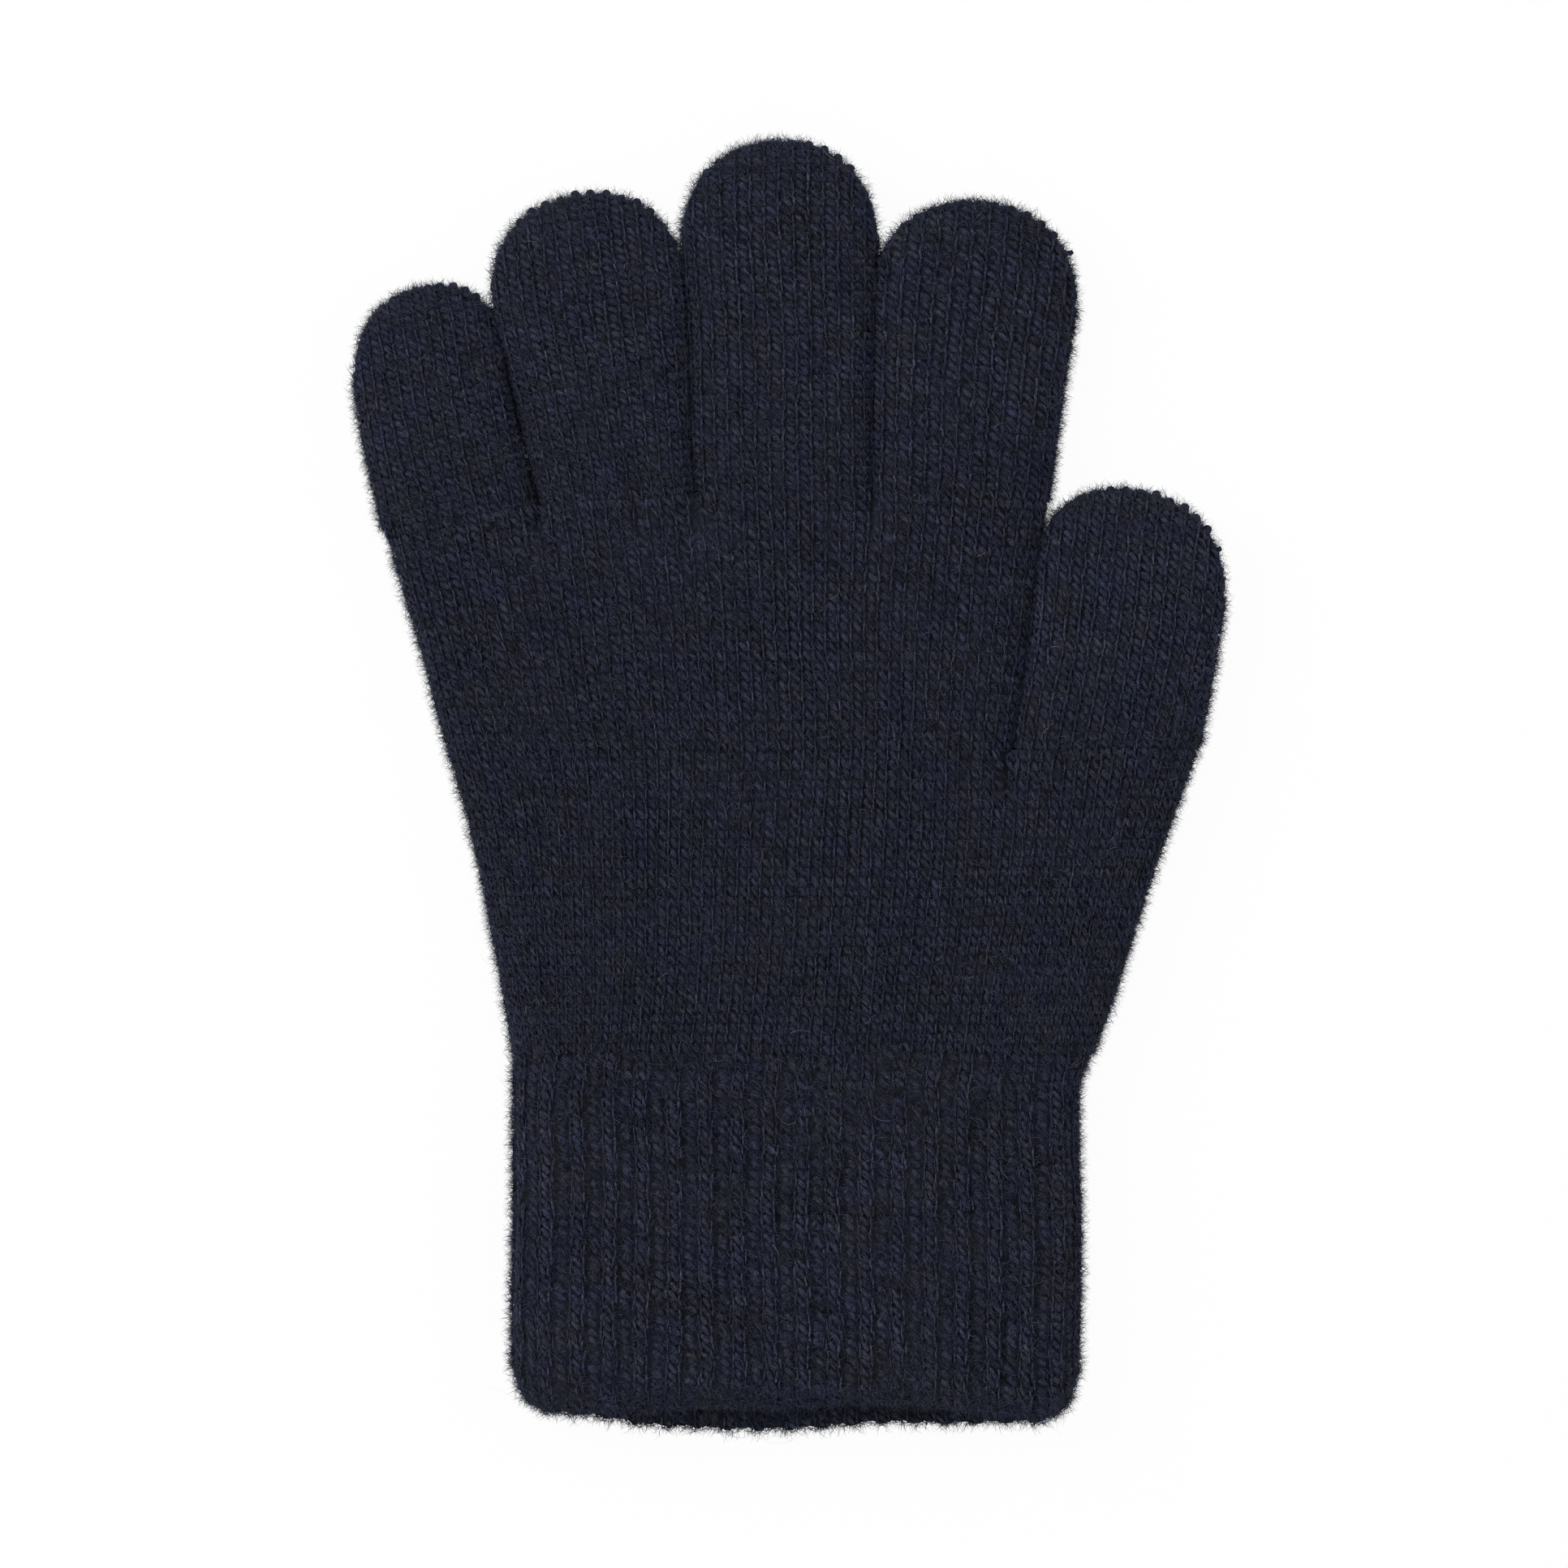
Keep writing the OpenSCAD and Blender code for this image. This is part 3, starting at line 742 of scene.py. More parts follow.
def lay(kind, surface, across, rows, keep=None, level=None):
    """Knits a swatch of the given rows and lays it on a surface; level is the tone of each row."""
    first, last = rows
    up = last - first
    size, relief = kind["size"], kind["relief"]
    ob = swatch(kind["stitch"], across, up, size)
    mesh = ob.data
    flat = points_of(mesh)
    number = across * up
    points = len(flat) // number
    middle_p = np.tile(np.arange(across) + 0.5, up)
    middle_q = np.repeat(np.arange(first, last) + 0.5, across)
    off = flat.reshape(number, points, 3).copy()
    off[..., 0] -= (middle_p[:, None] - 0.5) * size[0]
    off[..., 1] -= (middle_q[:, None] - first - 0.5) * size[1]
    off += random.normal(0, ROUGH, off.shape)
    turn = random.normal(0, STITCH_TURN, number)[:, None]
    grow = 1 + random.normal(0, STITCH_GROW, number)[:, None]
    x = grow * (off[..., 0] * np.cos(turn) - off[..., 1] * np.sin(turn))
    y = grow * (off[..., 0] * np.sin(turn) + off[..., 1] * np.cos(turn))
    p = middle_p[:, None] + x / size[0] + random.normal(0, STITCH_SHIFT[0], number)[:, None]
    q = middle_q[:, None] + y / size[1] + random.normal(0, STITCH_SHIFT[1], number)[:, None]
    h = off[..., 2] + random.normal(0, STITCH_LIFT, number)[:, None]
    if relief:
        h = h * mix(WELT_FLAT, 1, ease((q + 1) / 3)) + relief(p, q)
    place, out, _ = frame_at(surface, p.ravel(), q.ravel())
    place = place + out * h.reshape(-1, 1)
    place[:, 2] = np.maximum(place[:, 2], TABLE_GAP)
    set_points(mesh, place)
    # Each leg's colour is multiplied by its kind's light: painted highlight on the upright legs, painted
    # shade on the sunk rib leg.
    tone = tones(number, STITCH_TONE)[:, None, :] * kind["light"][None, :, None]
    if level:
        tone = tone * level(middle_q)[:, None, None]
    set_tone(mesh, tone.reshape(-1, 3))
    legs = np.arange(len(flat)) // LEG_POINTS
    bake_cells(mesh, legs, legs[-1] + 1, LEG_CELLS)
    if keep is not None:
        only(ob)
        edit_points(ob, np.repeat(~keep(middle_p, middle_q), points))
        bpy.ops.mesh.delete(type="VERT")
        bpy.ops.object.mode_set(mode="OBJECT")
    mesh.materials.clear()
    mesh.materials.append(kind["yarn"])
    return ob


RIM_CELLS = 2.5
TROUGH_SHADE = 0.9
SUNK_AT_RIM, SUNK = -0.04, -0.14
ROW_OVERLAP = 0.2
INNER_WALL = 0.6
MERGED = 0.02


def inner_layer(surface, across, rows, parts, relief=None):
    """A grid of that many parts across, laid under the yarn, with thickness, in a darker yarn that is painted
    shade.
    """
    first, last = rows
    bpy.ops.mesh.primitive_grid_add(x_subdivisions=parts, y_subdivisions=last - first, size=1)
    ob = bpy.context.object
    grid = points_of(ob.data) * MM + 0.5
    p = grid[:, 0] * across
    q = mix(first - ROW_OVERLAP, last + ROW_OVERLAP, grid[:, 1])
    place, out, _ = frame_at(surface, p, q)
    rim = np.clip(np.minimum(p, across - p) * parts / across / RIM_CELLS, 0, 1)
    sunk = mix(SUNK_AT_RIM, SUNK, np.minimum(rim, ease((q + 1) / 2) if relief else 1))
    if relief:
        sunk = sunk + relief(p, q)
    place = place + out * sunk[:, None]
    place[:, 2] = np.maximum(place[:, 2], TABLE_GAP + UNDER_YARN)
    set_points(ob.data, place)
    bpy.ops.object.mode_set(mode="EDIT")
    bpy.ops.mesh.select_all(action="SELECT")
    bpy.ops.mesh.remove_doubles(threshold=MERGED * MM)
    bpy.ops.object.mode_set(mode="OBJECT")
    wall = ob.modifiers.new("wall", "SOLIDIFY")
    wall.thickness = INNER_WALL * MM
    wall.offset = -1
    bpy.ops.object.modifier_apply(modifier=wall.name)
    tone = np.ones((len(ob.data.vertices), 3))
    # Under the rib the inner layer is painted darker still: painted shade in the sunk columns.
    if relief:
        tone *= TROUGH_SHADE
    set_tone(ob.data, tone)
    bake_cells(ob.data, np.zeros(len(ob.data.vertices), dtype=int), 4, FIBRE_CELLS)
    ob.data.materials.append(shaded_inner_yarn)
    return ob


# %% [markdown]
# ## Fibres
# Soft yarn has loose ends of fibre all over. They blur every outline by about a millimetre, and some lie
# across the stitches. A fibre is a three-sided cone, cut across so that it can bend, and copied; each
# copy gets its own place, direction, curl and length.

# %% Fibre helpers


def cut_cone(name, cuts):
    bpy.ops.mesh.primitive_cone_add(vertices=3, radius1=1, radius2=0, depth=1, location=(0, 0, 0.5))
    ob = bpy.context.object
    ob.name = name
    bpy.ops.object.transform_apply()
    for k in range(cuts):
        bpy.ops.object.mode_set(mode="EDIT")
        bpy.ops.mesh.select_all(action="SELECT")
        bpy.ops.mesh.bisect(plane_co=(0, 0, (k + 1) / (cuts + 1)), plane_no=(0, 0, 1))
        bpy.ops.object.mode_set(mode="OBJECT")
    print(name, "points", len(ob.data.vertices))
    return ob


down_fibre = cut_cone("down_fibre", 0)
halo_fibre = cut_cone("halo_fibre", 1)
curl_fibre = cut_cone("curl_fibre", 4)


def fibres(kind, surface, p, q, angle, long, lift, curl, thick, hair, start, relief=None, arch=0.0,
           spread=0.28):
    """One fibre at each place; lift is the share of its length by which its end stands off."""
    number = len(p)
    ob = swatch(kind, number, 1, (1000.0, 1.0))
    flat = points_of(ob.data) * MM
    points = len(flat) // number
    flat = flat.reshape(number, points, 3)
    flat[..., 0] -= np.arange(number)[:, None]
    place, out, over = frame_at(surface, p, q)
    side = np.cross(out, over)
    if relief:
        place = place + out * relief(p, q)[:, None]
    share = flat[..., 2]
    heading = angle[:, None] + curl[:, None] * share
    far = long[:, None] * share * np.sqrt(np.maximum(1 - lift ** 2, 0))[:, None]
    x = far * np.cos(heading)
    y = far * np.sin(heading)
    z = start + long[:, None] * lift[:, None] * share * (1 - 0.25 * share) + arch * 4 * share * (1 - share)
    width = thick * flat[..., :2]
    lean = -np.sin(heading)[..., None] * over[:, None, :] + np.cos(heading)[..., None] * side[:, None, :]
    where = place[:, None, :] + over[:, None, :] * x[..., None] + side[:, None, :] * y[..., None]
    where = where + out[:, None, :] * (z + width[..., 0])[..., None] + lean * width[..., 1][..., None]
    where[..., 2] = np.maximum(where[..., 2], TABLE_GAP)
    set_points(ob.data, where.reshape(-1, 3))
    set_tone(ob.data, np.repeat(tones(number, spread), points, axis=0))
    bake_cells(ob.data, np.full(number * points, 1), 4, FIBRE_CELLS)
    ob.data.materials.clear()
    ob.data.materials.append(hair)
    return ob


def kept(keep, p, q):
    """The places inside a piece's outline, where it has one to keep to."""
    if keep is None:
        return p, q
    stay = keep(p, q)
    return p[stay], q[stay]


STRAND_EACH = {1: 1.3, -1: 0.8}
STRAND_THICK, DOWN_THICK, CURL_THICK = 0.05, 0.028, 0.017


def strands(kind, surface, across, rows, face, keep=None):
    """Fibres on the legs of the stitches: each leg is a bundle of them."""
    made = []
    for x, slope, half_long, half_wide, top in kind["legs"][face]:
        number = int(STRAND_EACH[face] * across * (rows[1] - rows[0]))
        column = random.integers(0, across, number) + 0.5
        row = random.integers(rows[0], rows[1], number) + 0.5
        column, row = kept(keep, column, row)
        number = len(row)
        lean = math.radians(slope)
        aside = random.normal(0, 0.5 * half_wide, number)
        long = 2 * half_long * random.uniform(0.6, 1.05, number)
        begin = random.normal(0, 0.12, number) - long / 2
        p = column + (x + aside * math.cos(lean) - begin * math.sin(lean)) / kind["size"][0]
        q = row + (aside * math.sin(lean) + begin * math.cos(lean)) / kind["size"][1]
        angle = lean + math.pi / 2 + random.normal(0, 0.13, number)
        arch = (top + 0.1 + random.normal(0, 0.04, number))[:, None]
        made.append(fibres(halo_fibre, surface, p, q, angle, long, np.full(number, 0.02),
                           random.normal(0, 0.2, number), STRAND_THICK, fibre_hair, -0.06, kind["relief"],
                           arch, 0.45))
    return made


LEG_HEADING, HEADING_SPREAD = math.radians(128), 0.8
DOWN_LONG, DOWN_LIFT = (5.0, 0.19), (1.3, 6.0)


def down(surface, across, rows, count, keep=None, relief=None, start=(0.1, 0.32)):
    """Short fibres that lie on the yarn, mostly along its legs."""
    p = random.uniform(0, across, count)
    q = random.uniform(rows[0], rows[1], count)
    p, q = kept(keep, p, q)
    number = len(p)
    angle = random.normal(LEG_HEADING, HEADING_SPREAD, number) + np.pi * (random.random(number) < 0.5)
    long = random.gamma(*DOWN_LONG, number)
    lift = np.clip(random.beta(*DOWN_LIFT, number), 0.01, 0.9)
    start = random.uniform(*start, number)[:, None]
    return fibres(down_fibre, surface, p, q, angle, long, lift, np.zeros(number), DOWN_THICK,
                  fibre_hair, start, relief, spread=0.4)


HALO_SHAPE, LONGEST = 2.6, 2.0
HALO_LIFT, HALO_BEND = (3.6, 1.2), 1.1
HALO_KINDS = ((down_fibre, 2, 3, 0.34, 0.028), (halo_fibre, 1, 4, 0.62, 0.046))


def halo(surface, across, rows, count, rim=0, tip_rows=0, keep=None):
    """A haze of short fibres and a few bent longer ones that stand off the rims and the tip."""
    made = []
    for kind, part, whole, length, thick in HALO_KINDS:
        number = count * part // whole
        away = np.abs(random.normal(0, rim, number))
        p = np.where(random.random(number) < 0.5, away, across - away)
        q = random.uniform(rows[0], rows[1], number)
        at_tip = random.random(number) < (0.5 if tip_rows and rim else float(rim == 0))
        p = np.where(at_tip, random.uniform(0, across, number), p)
        q = np.where(at_tip, random.uniform(rows[1] - tip_rows, rows[1], number), q)
        p, q = kept(keep, p, q)
        number = len(p)
        angle = random.uniform(0, 2 * np.pi, number)
        long = np.minimum(random.gamma(HALO_SHAPE, length, number), LONGEST)
        lift = np.clip(random.beta(*HALO_LIFT, number), 0.1, 0.98)
        bend = random.normal(0, HALO_BEND, number)
        start = random.uniform(0.05, 0.3, number)[:, None]
        made.append(fibres(kind, surface, p, q, angle, long, lift, bend, thick, fibre_hair, start))
    return made


CURL_LONG, CURL_LIFT, CURL_BEND = (4.0, 0.45), (1.3, 7.0), 1.5


def curls(surface, across, rows, count, hair, keep=None):
    """Longer, paler fibres that lie curled on top."""
    p = random.uniform(0, across, count)
    q = random.uniform(rows[0], rows[1], count)
    p, q = kept(keep, p, q)
    number = len(p)
    angle = random.uniform(0, 2 * np.pi, number)
    long = random.gamma(*CURL_LONG, number)
    lift = np.clip(random.beta(*CURL_LIFT, number), 0.01, 0.7)
    bend = random.normal(0, CURL_BEND, number)
    start = random.uniform(0.34, 0.5, number)[:, None]
    return fibres(curl_fibre, surface, p, q, angle, long, lift, bend, CURL_THICK, hair, start)


# %% [markdown]
# ## Hand pieces
# Front and back of each palm section are knitted as two swatches that meet at the rims. They ride on the
# hand. The right-hand leg of each stitch is painted a touch lighter, as it is in the photo, where it catches
# light: a painted highlight.

# %% Knit the palm


def loop_row(name, loops, yarn, spread):
    """Single loops joined into one piece, each with its own tone."""
    ob = joined(name, loops)
    legs = np.arange(len(ob.data.vertices)) // LEG_POINTS
    set_tone(ob.data, tones(legs[-1] + 1, spread)[legs])
    bake_cells(ob.data, legs, legs[-1] + 1, LEG_CELLS)
    ob.data.materials.append(yarn)
    only(ob)
    soft = ob.modifiers.new("soft", "SUBSURF")
    soft.levels = 1
    bpy.ops.object.modifier_apply(modifier=soft.name)
    return ob


def finish_piece(name, pieces, replaced):
    ob = joined(name, pieces)
    only(ob)
    bpy.ops.object.shade_smooth()
    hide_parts(replaced)
    print(name, "faces", len(ob.data.polygons))
    return ob


FACES = {"front": 1, "back": -1}
DOWN_EACH = {1: 8.0, -1: 2.0}
CURL_EACH = 0.18
PALE_EACH = 0.014
HALO_EACH = 90
RIM_WALES = 0.4
LEFT_LEG, RIGHT_LEG = (-0.12, 38, 0.80, 0.27, 0.34), (0.52, 3, 0.76, 0.14, 0.26)
# In light, the upright right leg is painted 1.45 times lighter than the slanted one: a painted highlight.
PLAIN = {"stitch": plain_stitch, "size": (WALE, COURSE), "yarn": knit_yarn, "relief": None, "plain_each": 1,
         "light": np.repeat((1.0, 1.45), LEG_POINTS),
         "legs": {1: (LEFT_LEG, LEFT_LEG, RIGHT_LEG), -1: (LEFT_LEG,)}}


def knit_face(kind, surface, across, rows, face, parts, level=None, keep=None, overlap=0, pale=0):
    """All that shows of one face: its stitches, the layer under them, and the fibres on them."""
    number = kind["plain_each"] * across * (rows[1] - rows[0])
    relief = kind["relief"]
    made = [lay(kind, surface, across, (rows[0] - overlap, rows[1]), keep, level),
            inner_layer(surface, across, rows, parts, relief),
            down(surface, across, rows, int(number * DOWN_EACH[face]), keep, relief),
            curls(surface, across, rows, int(number * CURL_EACH), light_hair, keep),
            curls(surface, across, rows, int(number * PALE_EACH) + pale, pale_hair, keep)]
    return made + strands(kind, surface, across, rows, face, keep)


def palm_piece(name, surface, face, across, rows, replaced):
    pieces = knit_face(PLAIN, surface, across, rows, face, across)
    pieces += halo(surface, across, rows, HALO_EACH * (rows[1] - rows[0]), RIM_WALES)
    ob = finish_piece(name, pieces, replaced)
    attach(ob, "hand")


HALF_WAY = 16
PALM_PIECES = (
    ("lower_palm_wrist_", "lower_palm", lower_palm, LOWER_WALES, (0, HALF_WAY)),
    ("lower_palm_thumb_", "lower_palm", lower_palm, LOWER_WALES, (HALF_WAY, LOWER_COURSES)),
    ("upper_palm_", "upper_palm", upper_palm, UPPER_WALES, (0, UPPER_COURSES)),
)
for face_name, face in FACES.items():
    for start, replaced, section_of, wales, rows in PALM_PIECES:
        palm_piece(start + face_name, section_of(face), face, wales, rows, replaced)

# %% [markdown]
# ## Finger pieces
# A finger is knitted in two lengths, below and above its fold line.

# %% Knit the fingers
PARTS_OF_WALE = 2
TIP_ROWS = 8


def inside_tip(f, face):
    def keep(p, q):
        x, s, rise = finger_lane(f, face, p, q)
        way = q * FINGER_COURSE
        straight = np.where(way > f["length"] - RIM_REACH, s, way)
        room = f["tip_start"] + tip_reach(f, x) - straight
        return (s < f["tip_start"]) | ((room > 0.02) & (rise > 0.35))
    return keep


LEVEL_ROWS = 14


def finger_level(f):
    """The tone of a finger's rows: that of the palm at the root, its own further up."""
    return lambda q: mix(1.0, f["level"], ease(q / LEVEL_ROWS))


SEAM_TURN = math.radians(92)
RIM_END = math.radians(88)
RIM_LOOPS = 7
RIM_LOOP = (1.1, 0.52, 0.6)
RIM_LOOP_STEP = 1.3
BAND_HALF = 2.2
BAND_OUT = -0.15
BAND_BOW = 0.6
TIP_HALO = 2600


def tip_place(f, angle, out_by):
    """A place on the rim of a tip, at an angle from the finger's direction."""
    over, up = np.sin(angle), np.cos(angle)
    square = (np.abs(over) ** TIP_POWER + np.abs(up) ** TIP_POWER) ** (1 / TIP_POWER)
    radius = f["tip_radius"] / square + out_by
    side = radius * over + mix(*f["sides"], 0.5 + over / 2) + f["lean"]
    ahead = f["tip_start"] + radius * up
    return f["root"] + f["along"] * ahead[..., None] + f["across"] * side[..., None]


def tip_band(name):
    """The rim of a tip as a surface: across goes round the tip from right to left, up goes back to front."""
    f = FINGERS[name]

    def place(p, q):
        flat = tip_place(f, RIM_END * (1 - 2 * p), BAND_OUT - BAND_BOW * (2 * q - 1) ** 2)
        return stacked(flat[..., 0], flat[..., 1], MIDDLE_Z + BAND_HALF * (2 * q - 1))
    return place


def rim_heading(f, angle):
    """The direction straight out of a tip's rim, in degrees from +X."""
    outwards = f["along"] * math.cos(angle) + f["across"] * math.sin(angle)
    return math.degrees(math.atan2(outwards[1], outwards[0]))


def rim_loops(name):
    """Loops on the sides of a tip, from the ends of its seam down to where the sides run straight."""
    f = FINGERS[name]
    loops = []
    for angle in np.linspace(SEAM_TURN / 2, RIM_END, RIM_LOOPS):
        for turn in (-angle, angle):
            for height in (-RIM_LOOP_STEP, 0.0, RIM_LOOP_STEP):
                around = turn + random.normal(0, 0.02)
                out_by = random.normal(-0.3, 0.06) - 0.12 * abs(height)
                place = tip_place(f, around, out_by)
                slope = rim_heading(f, turn) + random.normal(0, 12)
                loops.append(leg(*place, *RIM_LOOP, slope, 0.0, MIDDLE_Z + height + random.normal(0, 0.15)))
    return loop_row(name + "_rim", loops, knit_yarn, 0.2)


def finger_piece(name, part, rows):
    f = FINGERS[name]
    lower = part == "lower"
    row_count = rows[1] - rows[0]
    pieces = []
    for face in FACES.values():
        keep = inside_tip(f, face)
        lane = finger(name, face)
        pieces += knit_face(PLAIN, lane, f["wales"], rows, face, f["wales"] * PARTS_OF_WALE, finger_level(f),
                            keep, overlap=int(lower), pale=1)
        hairs = HALO_EACH * row_count * (1 if lower else 2)
        pieces += halo(lane, f["wales"], rows, hairs, RIM_WALES, 0 if lower else TIP_ROWS, keep)
    if not lower:
        pieces.append(rim_loops(name))
        pieces += halo(tip_band(name), 1, (0, 1), TIP_HALO, tip_rows=1)
    ob = finish_piece(name + "_" + part + "_knit", pieces, name + "_" + part)
    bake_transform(ob)


for name, f in FINGERS.items():
    finger_piece(name, "lower", (0, f["fold_row"]))
    finger_piece(name, "upper", (f["fold_row"], f["rows"]))

# %% [markdown]
# ## Cuff and welt
# The rib is laid in the same way, with the standing columns raised and the others sunk. The welt takes
# the rows that roll round the mouth and run up inside.

# %% Knit the cuff
PLAIN_OF_RIB = 2.6
CUFF_LEVEL = 1.32
RIB_LEG, RIB_RIGHT_LEG = (0.62, 38, 0.84, 0.29, 0.34), (1.36, 2, 0.76, 0.14, 0.26)
RIB_EDGE, SUNK_LEG, SUNK_CROSS = ((-0.06, 4, 0.74, 0.14, 0.20), (-1.10, 46, 0.78, 0.36, 0.14),
                                  (-1.10, 60, 0.78, 0.40, 0.14))
RIM_RIBS = 0.18
ROLL_ROWS = (-2.0, 0.8)
CUFF_HALF_WAY = 20
PARTS_OF_RIB = 4
INSIDE_DOWN, ROLL_DOWN, ROLL_CURLS, ROLL_HALO = 1500, 2400, 120, 4200


def cuff_level(q):
    """The tone of the cuff's rows, which starts as the palm's."""
    return mix(1.0, CUFF_LEVEL, ease((CUFF_ROWS - q) / LEVEL_ROWS))


# In light, the rib's upright legs are painted lighter, a painted highlight, and the sunk leg in the trough
# darker, a painted shade.
RIBBED = {"stitch": rib_stitch, "size": (RIB, CUFF_COURSE), "yarn": rib_yarn, "relief": rib_relief,
          "plain_each": PLAIN_OF_RIB, "light": np.repeat((1.0, 1.5, 1.2, 0.85), LEG_POINTS),
          "legs": {1: (RIB_LEG, RIB_LEG, RIB_RIGHT_LEG, RIB_EDGE, SUNK_LEG, SUNK_CROSS),
                   -1: (RIB_LEG, SUNK_LEG)}}


def cuff_piece(name, face, rows):
    pieces = knit_face(RIBBED, cuff(face), RIBS, rows, face, RIBS * PARTS_OF_RIB, cuff_level)
    pieces += halo(cuff(face), RIBS, rows, HALO_EACH * (rows[1] - rows[0]), RIM_RIBS)
    return finish_piece(name, pieces, "rib_cuff")


def welt_piece(name, face):
    rows = (-WELT_ROWS, 0)
    pieces = [lay(RIBBED, cuff(face), RIBS, rows, level=cuff_level),
              inner_layer(cuff(face), RIBS, rows, RIBS * PARTS_OF_RIB, rib_relief),
              down(cuff(face), RIBS, rows, INSIDE_DOWN, relief=rib_relief),
              down(cuff(face), RIBS, ROLL_ROWS, ROLL_DOWN, start=(0.0, 0.2)),
              curls(cuff(face), RIBS, ROLL_ROWS, ROLL_CURLS, light_hair)]
    pieces += halo(cuff(face), RIBS, ROLL_ROWS, ROLL_HALO, tip_rows=ROLL_ROWS[1] - ROLL_ROWS[0])
    return finish_piece(name, pieces, "cuff_welt")


for face_name, face in FACES.items():
    ob = cuff_piece("cuff_wrist_" + face_name, face, (CUFF_HALF_WAY, CUFF_ROWS))
    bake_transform(ob)
    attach(cuff_piece("cuff_mouth_" + face_name, face, (0, CUFF_HALF_WAY)), "cuff")
    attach(welt_piece("welt_" + face_name, face), "cuff")

# %% [markdown]
# ## Tip seams
# Each tip is closed by the knitting yarn itself, drawn through the last loops. It shows as a row of small
# loops on the rim. On the index finger and the thumb its end sticks out as a small frayed knob.

# %% Close the tips
SEAM_LOOPS = 11
SEAM_OUT = (-0.5, -0.1)
CUT_ENDS = {"index": 0.62, "thumb": 0.3}
CUT_END_TURN = math.radians(59)
CUT_STALK = (0.1, (0.8, 0.32, 0.32), 30)
CUT_KNOB = (0.48, 0.48, 0.48)
SEAM_LOOP = (0.95, 0.9, 0.65)


def seam_piece(name):
    f = FINGERS[name]
    loops = []
    for angle in np.linspace(-SEAM_TURN / 2, SEAM_TURN / 2, SEAM_LOOPS):
        slope = rim_heading(f, angle) - 90 + random.normal(24, 9)
        out_by = mix(*SEAM_OUT, 0.5 + angle / SEAM_TURN) + random.normal(0, 0.12)
        place = tip_place(f, angle, out_by)
        loops.append(leg(*place, *SEAM_LOOP, slope, 0.0, MIDDLE_Z + random.normal(0, 0.2)))
    if name in CUT_ENDS:
        for out_by, size, turn in (CUT_STALK, (CUT_ENDS[name], CUT_KNOB, 0)):
            slope = rim_heading(f, CUT_END_TURN) - 90 + turn
            loops.append(leg(*tip_place(f, CUT_END_TURN, out_by), *size, slope, 0.0, MIDDLE_Z))
    ob = loop_row(name + "_seam", loops, seam_yarn, 0.12)
    ob = finish_piece(name + "_seam", [ob], name + "_tip_seam")
    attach(ob, name + "_end")


for name in FINGERS:
    seam_piece(name)

# %% [markdown]
# ## Fork stitches
# Where two fingers part, a few stitches close front to back, and the knit round them is drawn together.
# They are larger and less even than the rest. More loops lie low in the slit above each fork, where the
# floor would show through.

# %% Close the forks
FORKS = [(x, float(knuckle_y(x)), upper_palm, UPPER_WALES, UPPER_COURSES) for x in FORKS_X]
FORKS.append((THUMB_FORK_X, THUMB_LEVEL, lower_palm, LOWER_WALES, LOWER_COURSES))
CLOSING_LOOPS, CLOSING_LOOP = 7, (0.95, 0.33, 0.36)
DRAWN_LOOPS, DRAWN_LOOP = 9, (0.85, 0.3, 0.26)
CLOSING_SPREAD, CLOSING_BELOW, CLOSING_HIGH = 0.5, 0.6, 2.2
DRAWN_SPREAD, DRAWN_BELOW = 0.9, 2.4
FORK_TUCK = 0.1
SLIT_LOOPS, SLIT_LOOP = 12, (0.8, 0.42, 0.36)
SLIT_LONG, SLIT_HIGH = 4.2, (-2.4, 0.6)
SLIT_SIDES = (("little", "ring"), ("ring", "middle"), ("middle", "index"), ("index", "thumb"))


def height_at(surface, across, row, x):
    p = np.linspace(0, across, 20 * across)
    places = surface(p, np.full_like(p, row))
    order = np.argsort(places[:, 0])
    return float(np.interp(x, places[order, 0], places[order, 2]))


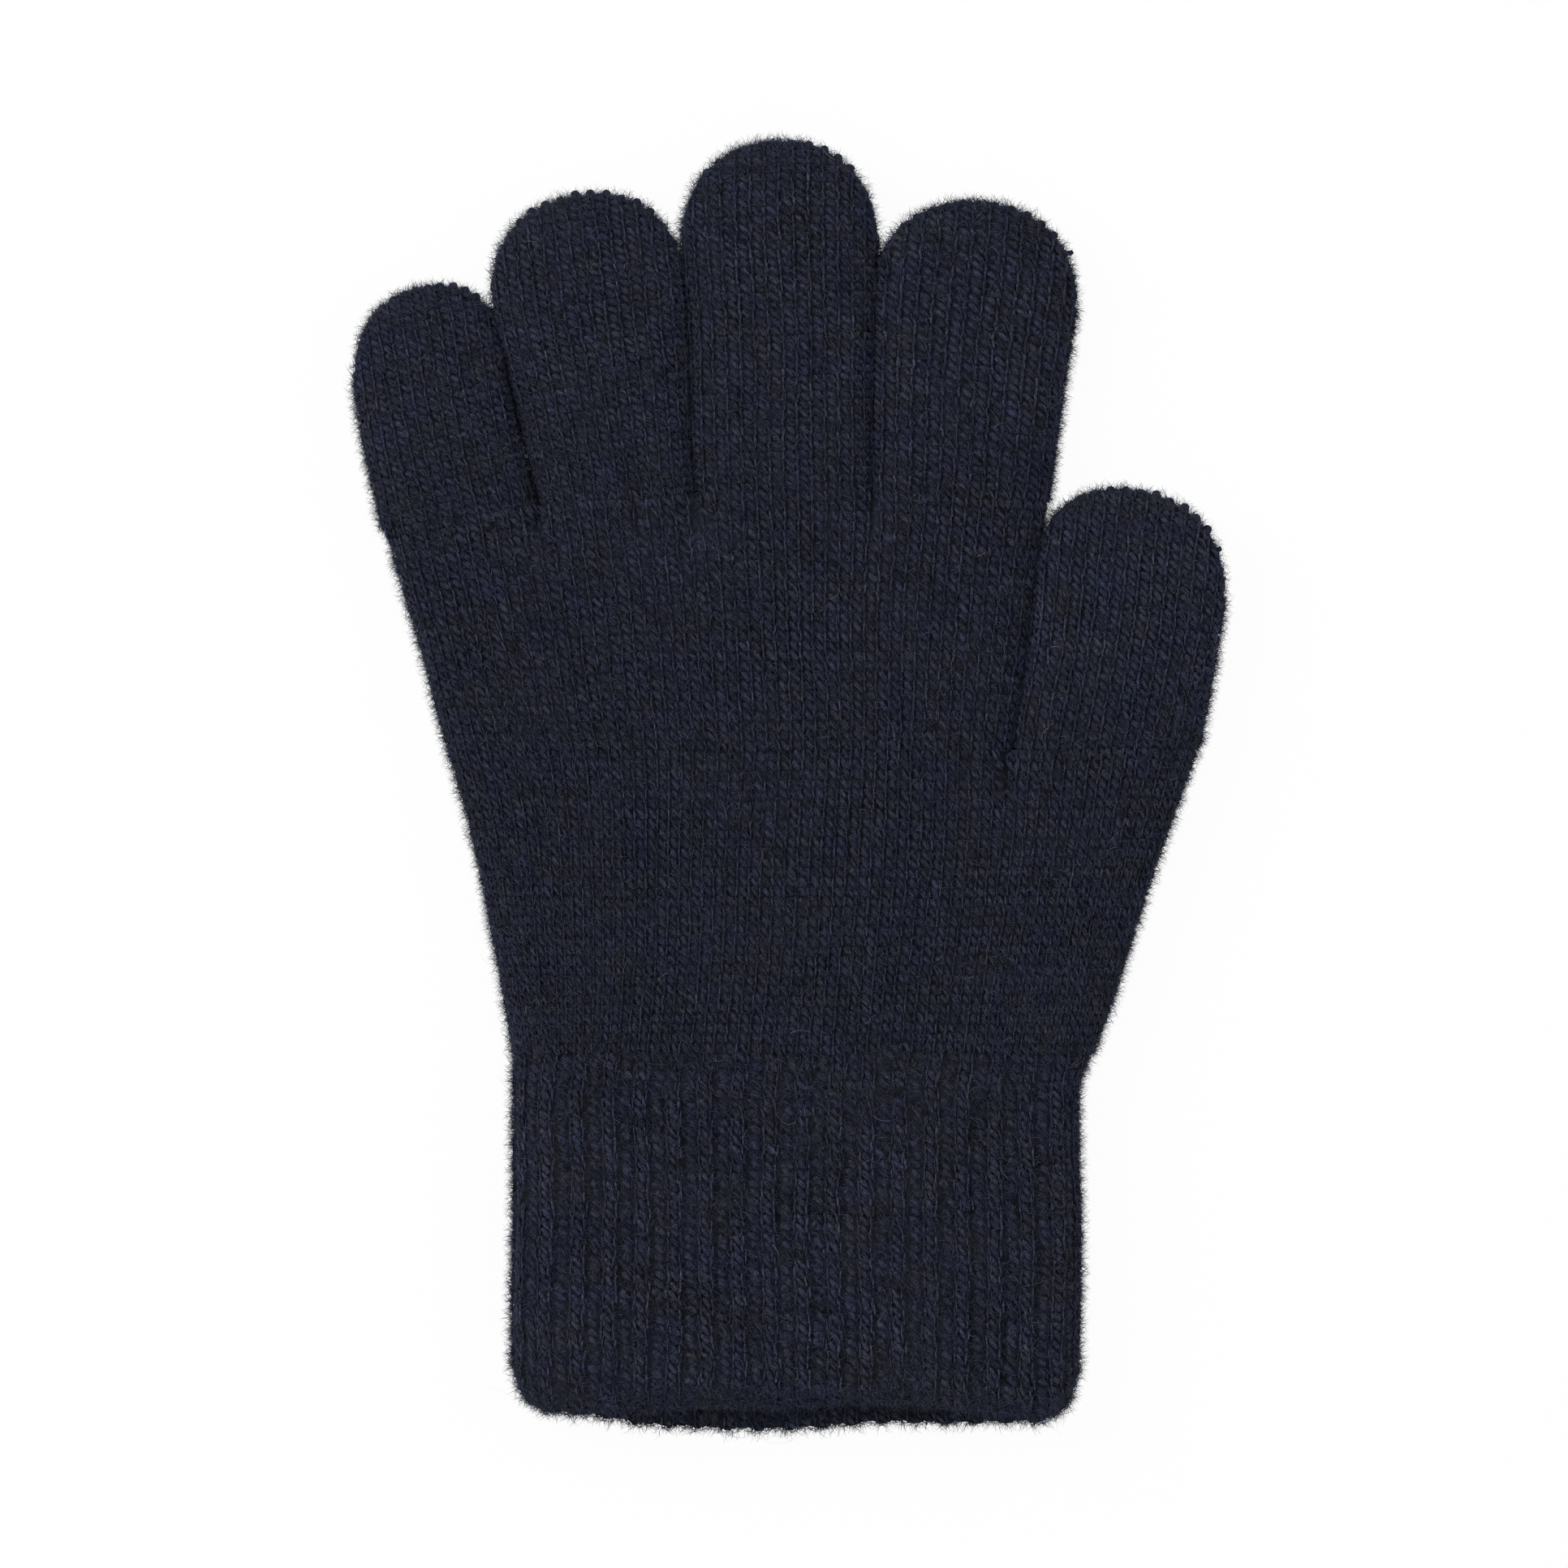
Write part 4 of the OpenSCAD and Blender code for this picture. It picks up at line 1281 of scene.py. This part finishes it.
fork_loops = []
for (x, y, section_of, wales, courses), sides in zip(FORKS, SLIT_SIDES):
    slit = sum(FINGERS[name]["along"] for name in sides) / 2
    for k in range(SLIT_LOOPS):
        place = np.array([x, y]) + slit * SLIT_LONG * (k + 0.5) / SLIT_LOOPS
        turn = random.normal(0, 25) - math.degrees(math.atan2(slit[0], slit[1]))
        fork_loops.append(leg(*place, *SLIT_LOOP, turn, 0.0, MIDDLE_Z + random.uniform(*SLIT_HIGH)))
    for k in range(CLOSING_LOOPS):
        turn = random.uniform(-60, 60)
        across, up = random.normal(0, CLOSING_SPREAD, 2)
        height = MIDDLE_Z + random.uniform(-CLOSING_HIGH, CLOSING_HIGH)
        fork_loops.append(leg(x + across, y - CLOSING_BELOW + up, *CLOSING_LOOP, turn, FORK_TUCK, height))
    for face in FACES.values():
        for k in range(DRAWN_LOOPS):
            across = random.normal(0, DRAWN_SPREAD)
            below = random.uniform(0.0, DRAWN_BELOW)
            height = height_at(section_of(face), wales, courses - below / COURSE, x + across)
            turn = random.normal(30, 22)
            fork_loops.append(leg(x + across, y - below, *DRAWN_LOOP, turn, FORK_TUCK, height))
forks = loop_row("fork_loops", fork_loops, seam_yarn, 0.15)
forks = finish_piece("fork_loops", [forks], "fork_stitches")
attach(forks, "hand")
print("fork loops", len(fork_loops))

# %% [markdown]
# ## Elastic thread
# The elastic lies hidden between cuff and welt. Its shape in the frame is right, so it only gets its
# finish: a wrapped thread, pale, with the fine ridges of its covering.

# %% Elastic finish
WRAPS_EACH_M = 900.0
WRAP_BUMP = 0.00005
covered = new_material("covered_elastic")
tree = covered.node_tree
shader = tree.nodes["Principled BSDF"]
shader.inputs["Roughness"].default_value = 0.75
place = node(tree, "TexCoord").outputs["Object"]
wraps = node(tree, "TexWave", {"Vector": place, "Scale": WRAPS_EACH_M, "Distortion": 1.5}).outputs["Fac"]
thread = ramp(tree, wraps, (0.0, (0.52, 0.52, 0.49)), (1.0, (0.74, 0.74, 0.7)))
tree.links.new(thread, shader.inputs["Base Color"])
bump = node(tree, "Bump", {"Height": wraps, "Distance": WRAP_BUMP})
tree.links.new(bump.outputs[0], shader.inputs["Normal"])
elastic_object = bpy.data.objects["cuff_elastic"]
for slot in elastic_object.material_slots:
    slot.material = covered
print("elastic slots", len(elastic_object.material_slots))

# %% [markdown]
# ## Clear the table and finish
# The single stitches and fibres that the swatches were copied from are removed, and the number of
# triangles is printed.

# %% Finish
for ob in (plain_stitch, rib_stitch, down_fibre, halo_fibre, curl_fibre):
    bpy.data.objects.remove(ob)
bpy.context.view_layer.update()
triangles = sum(len(p.vertices) - 2 for ob in bpy.data.objects if ob.type == "MESH" for p in ob.data.polygons)
print("triangles", triangles)
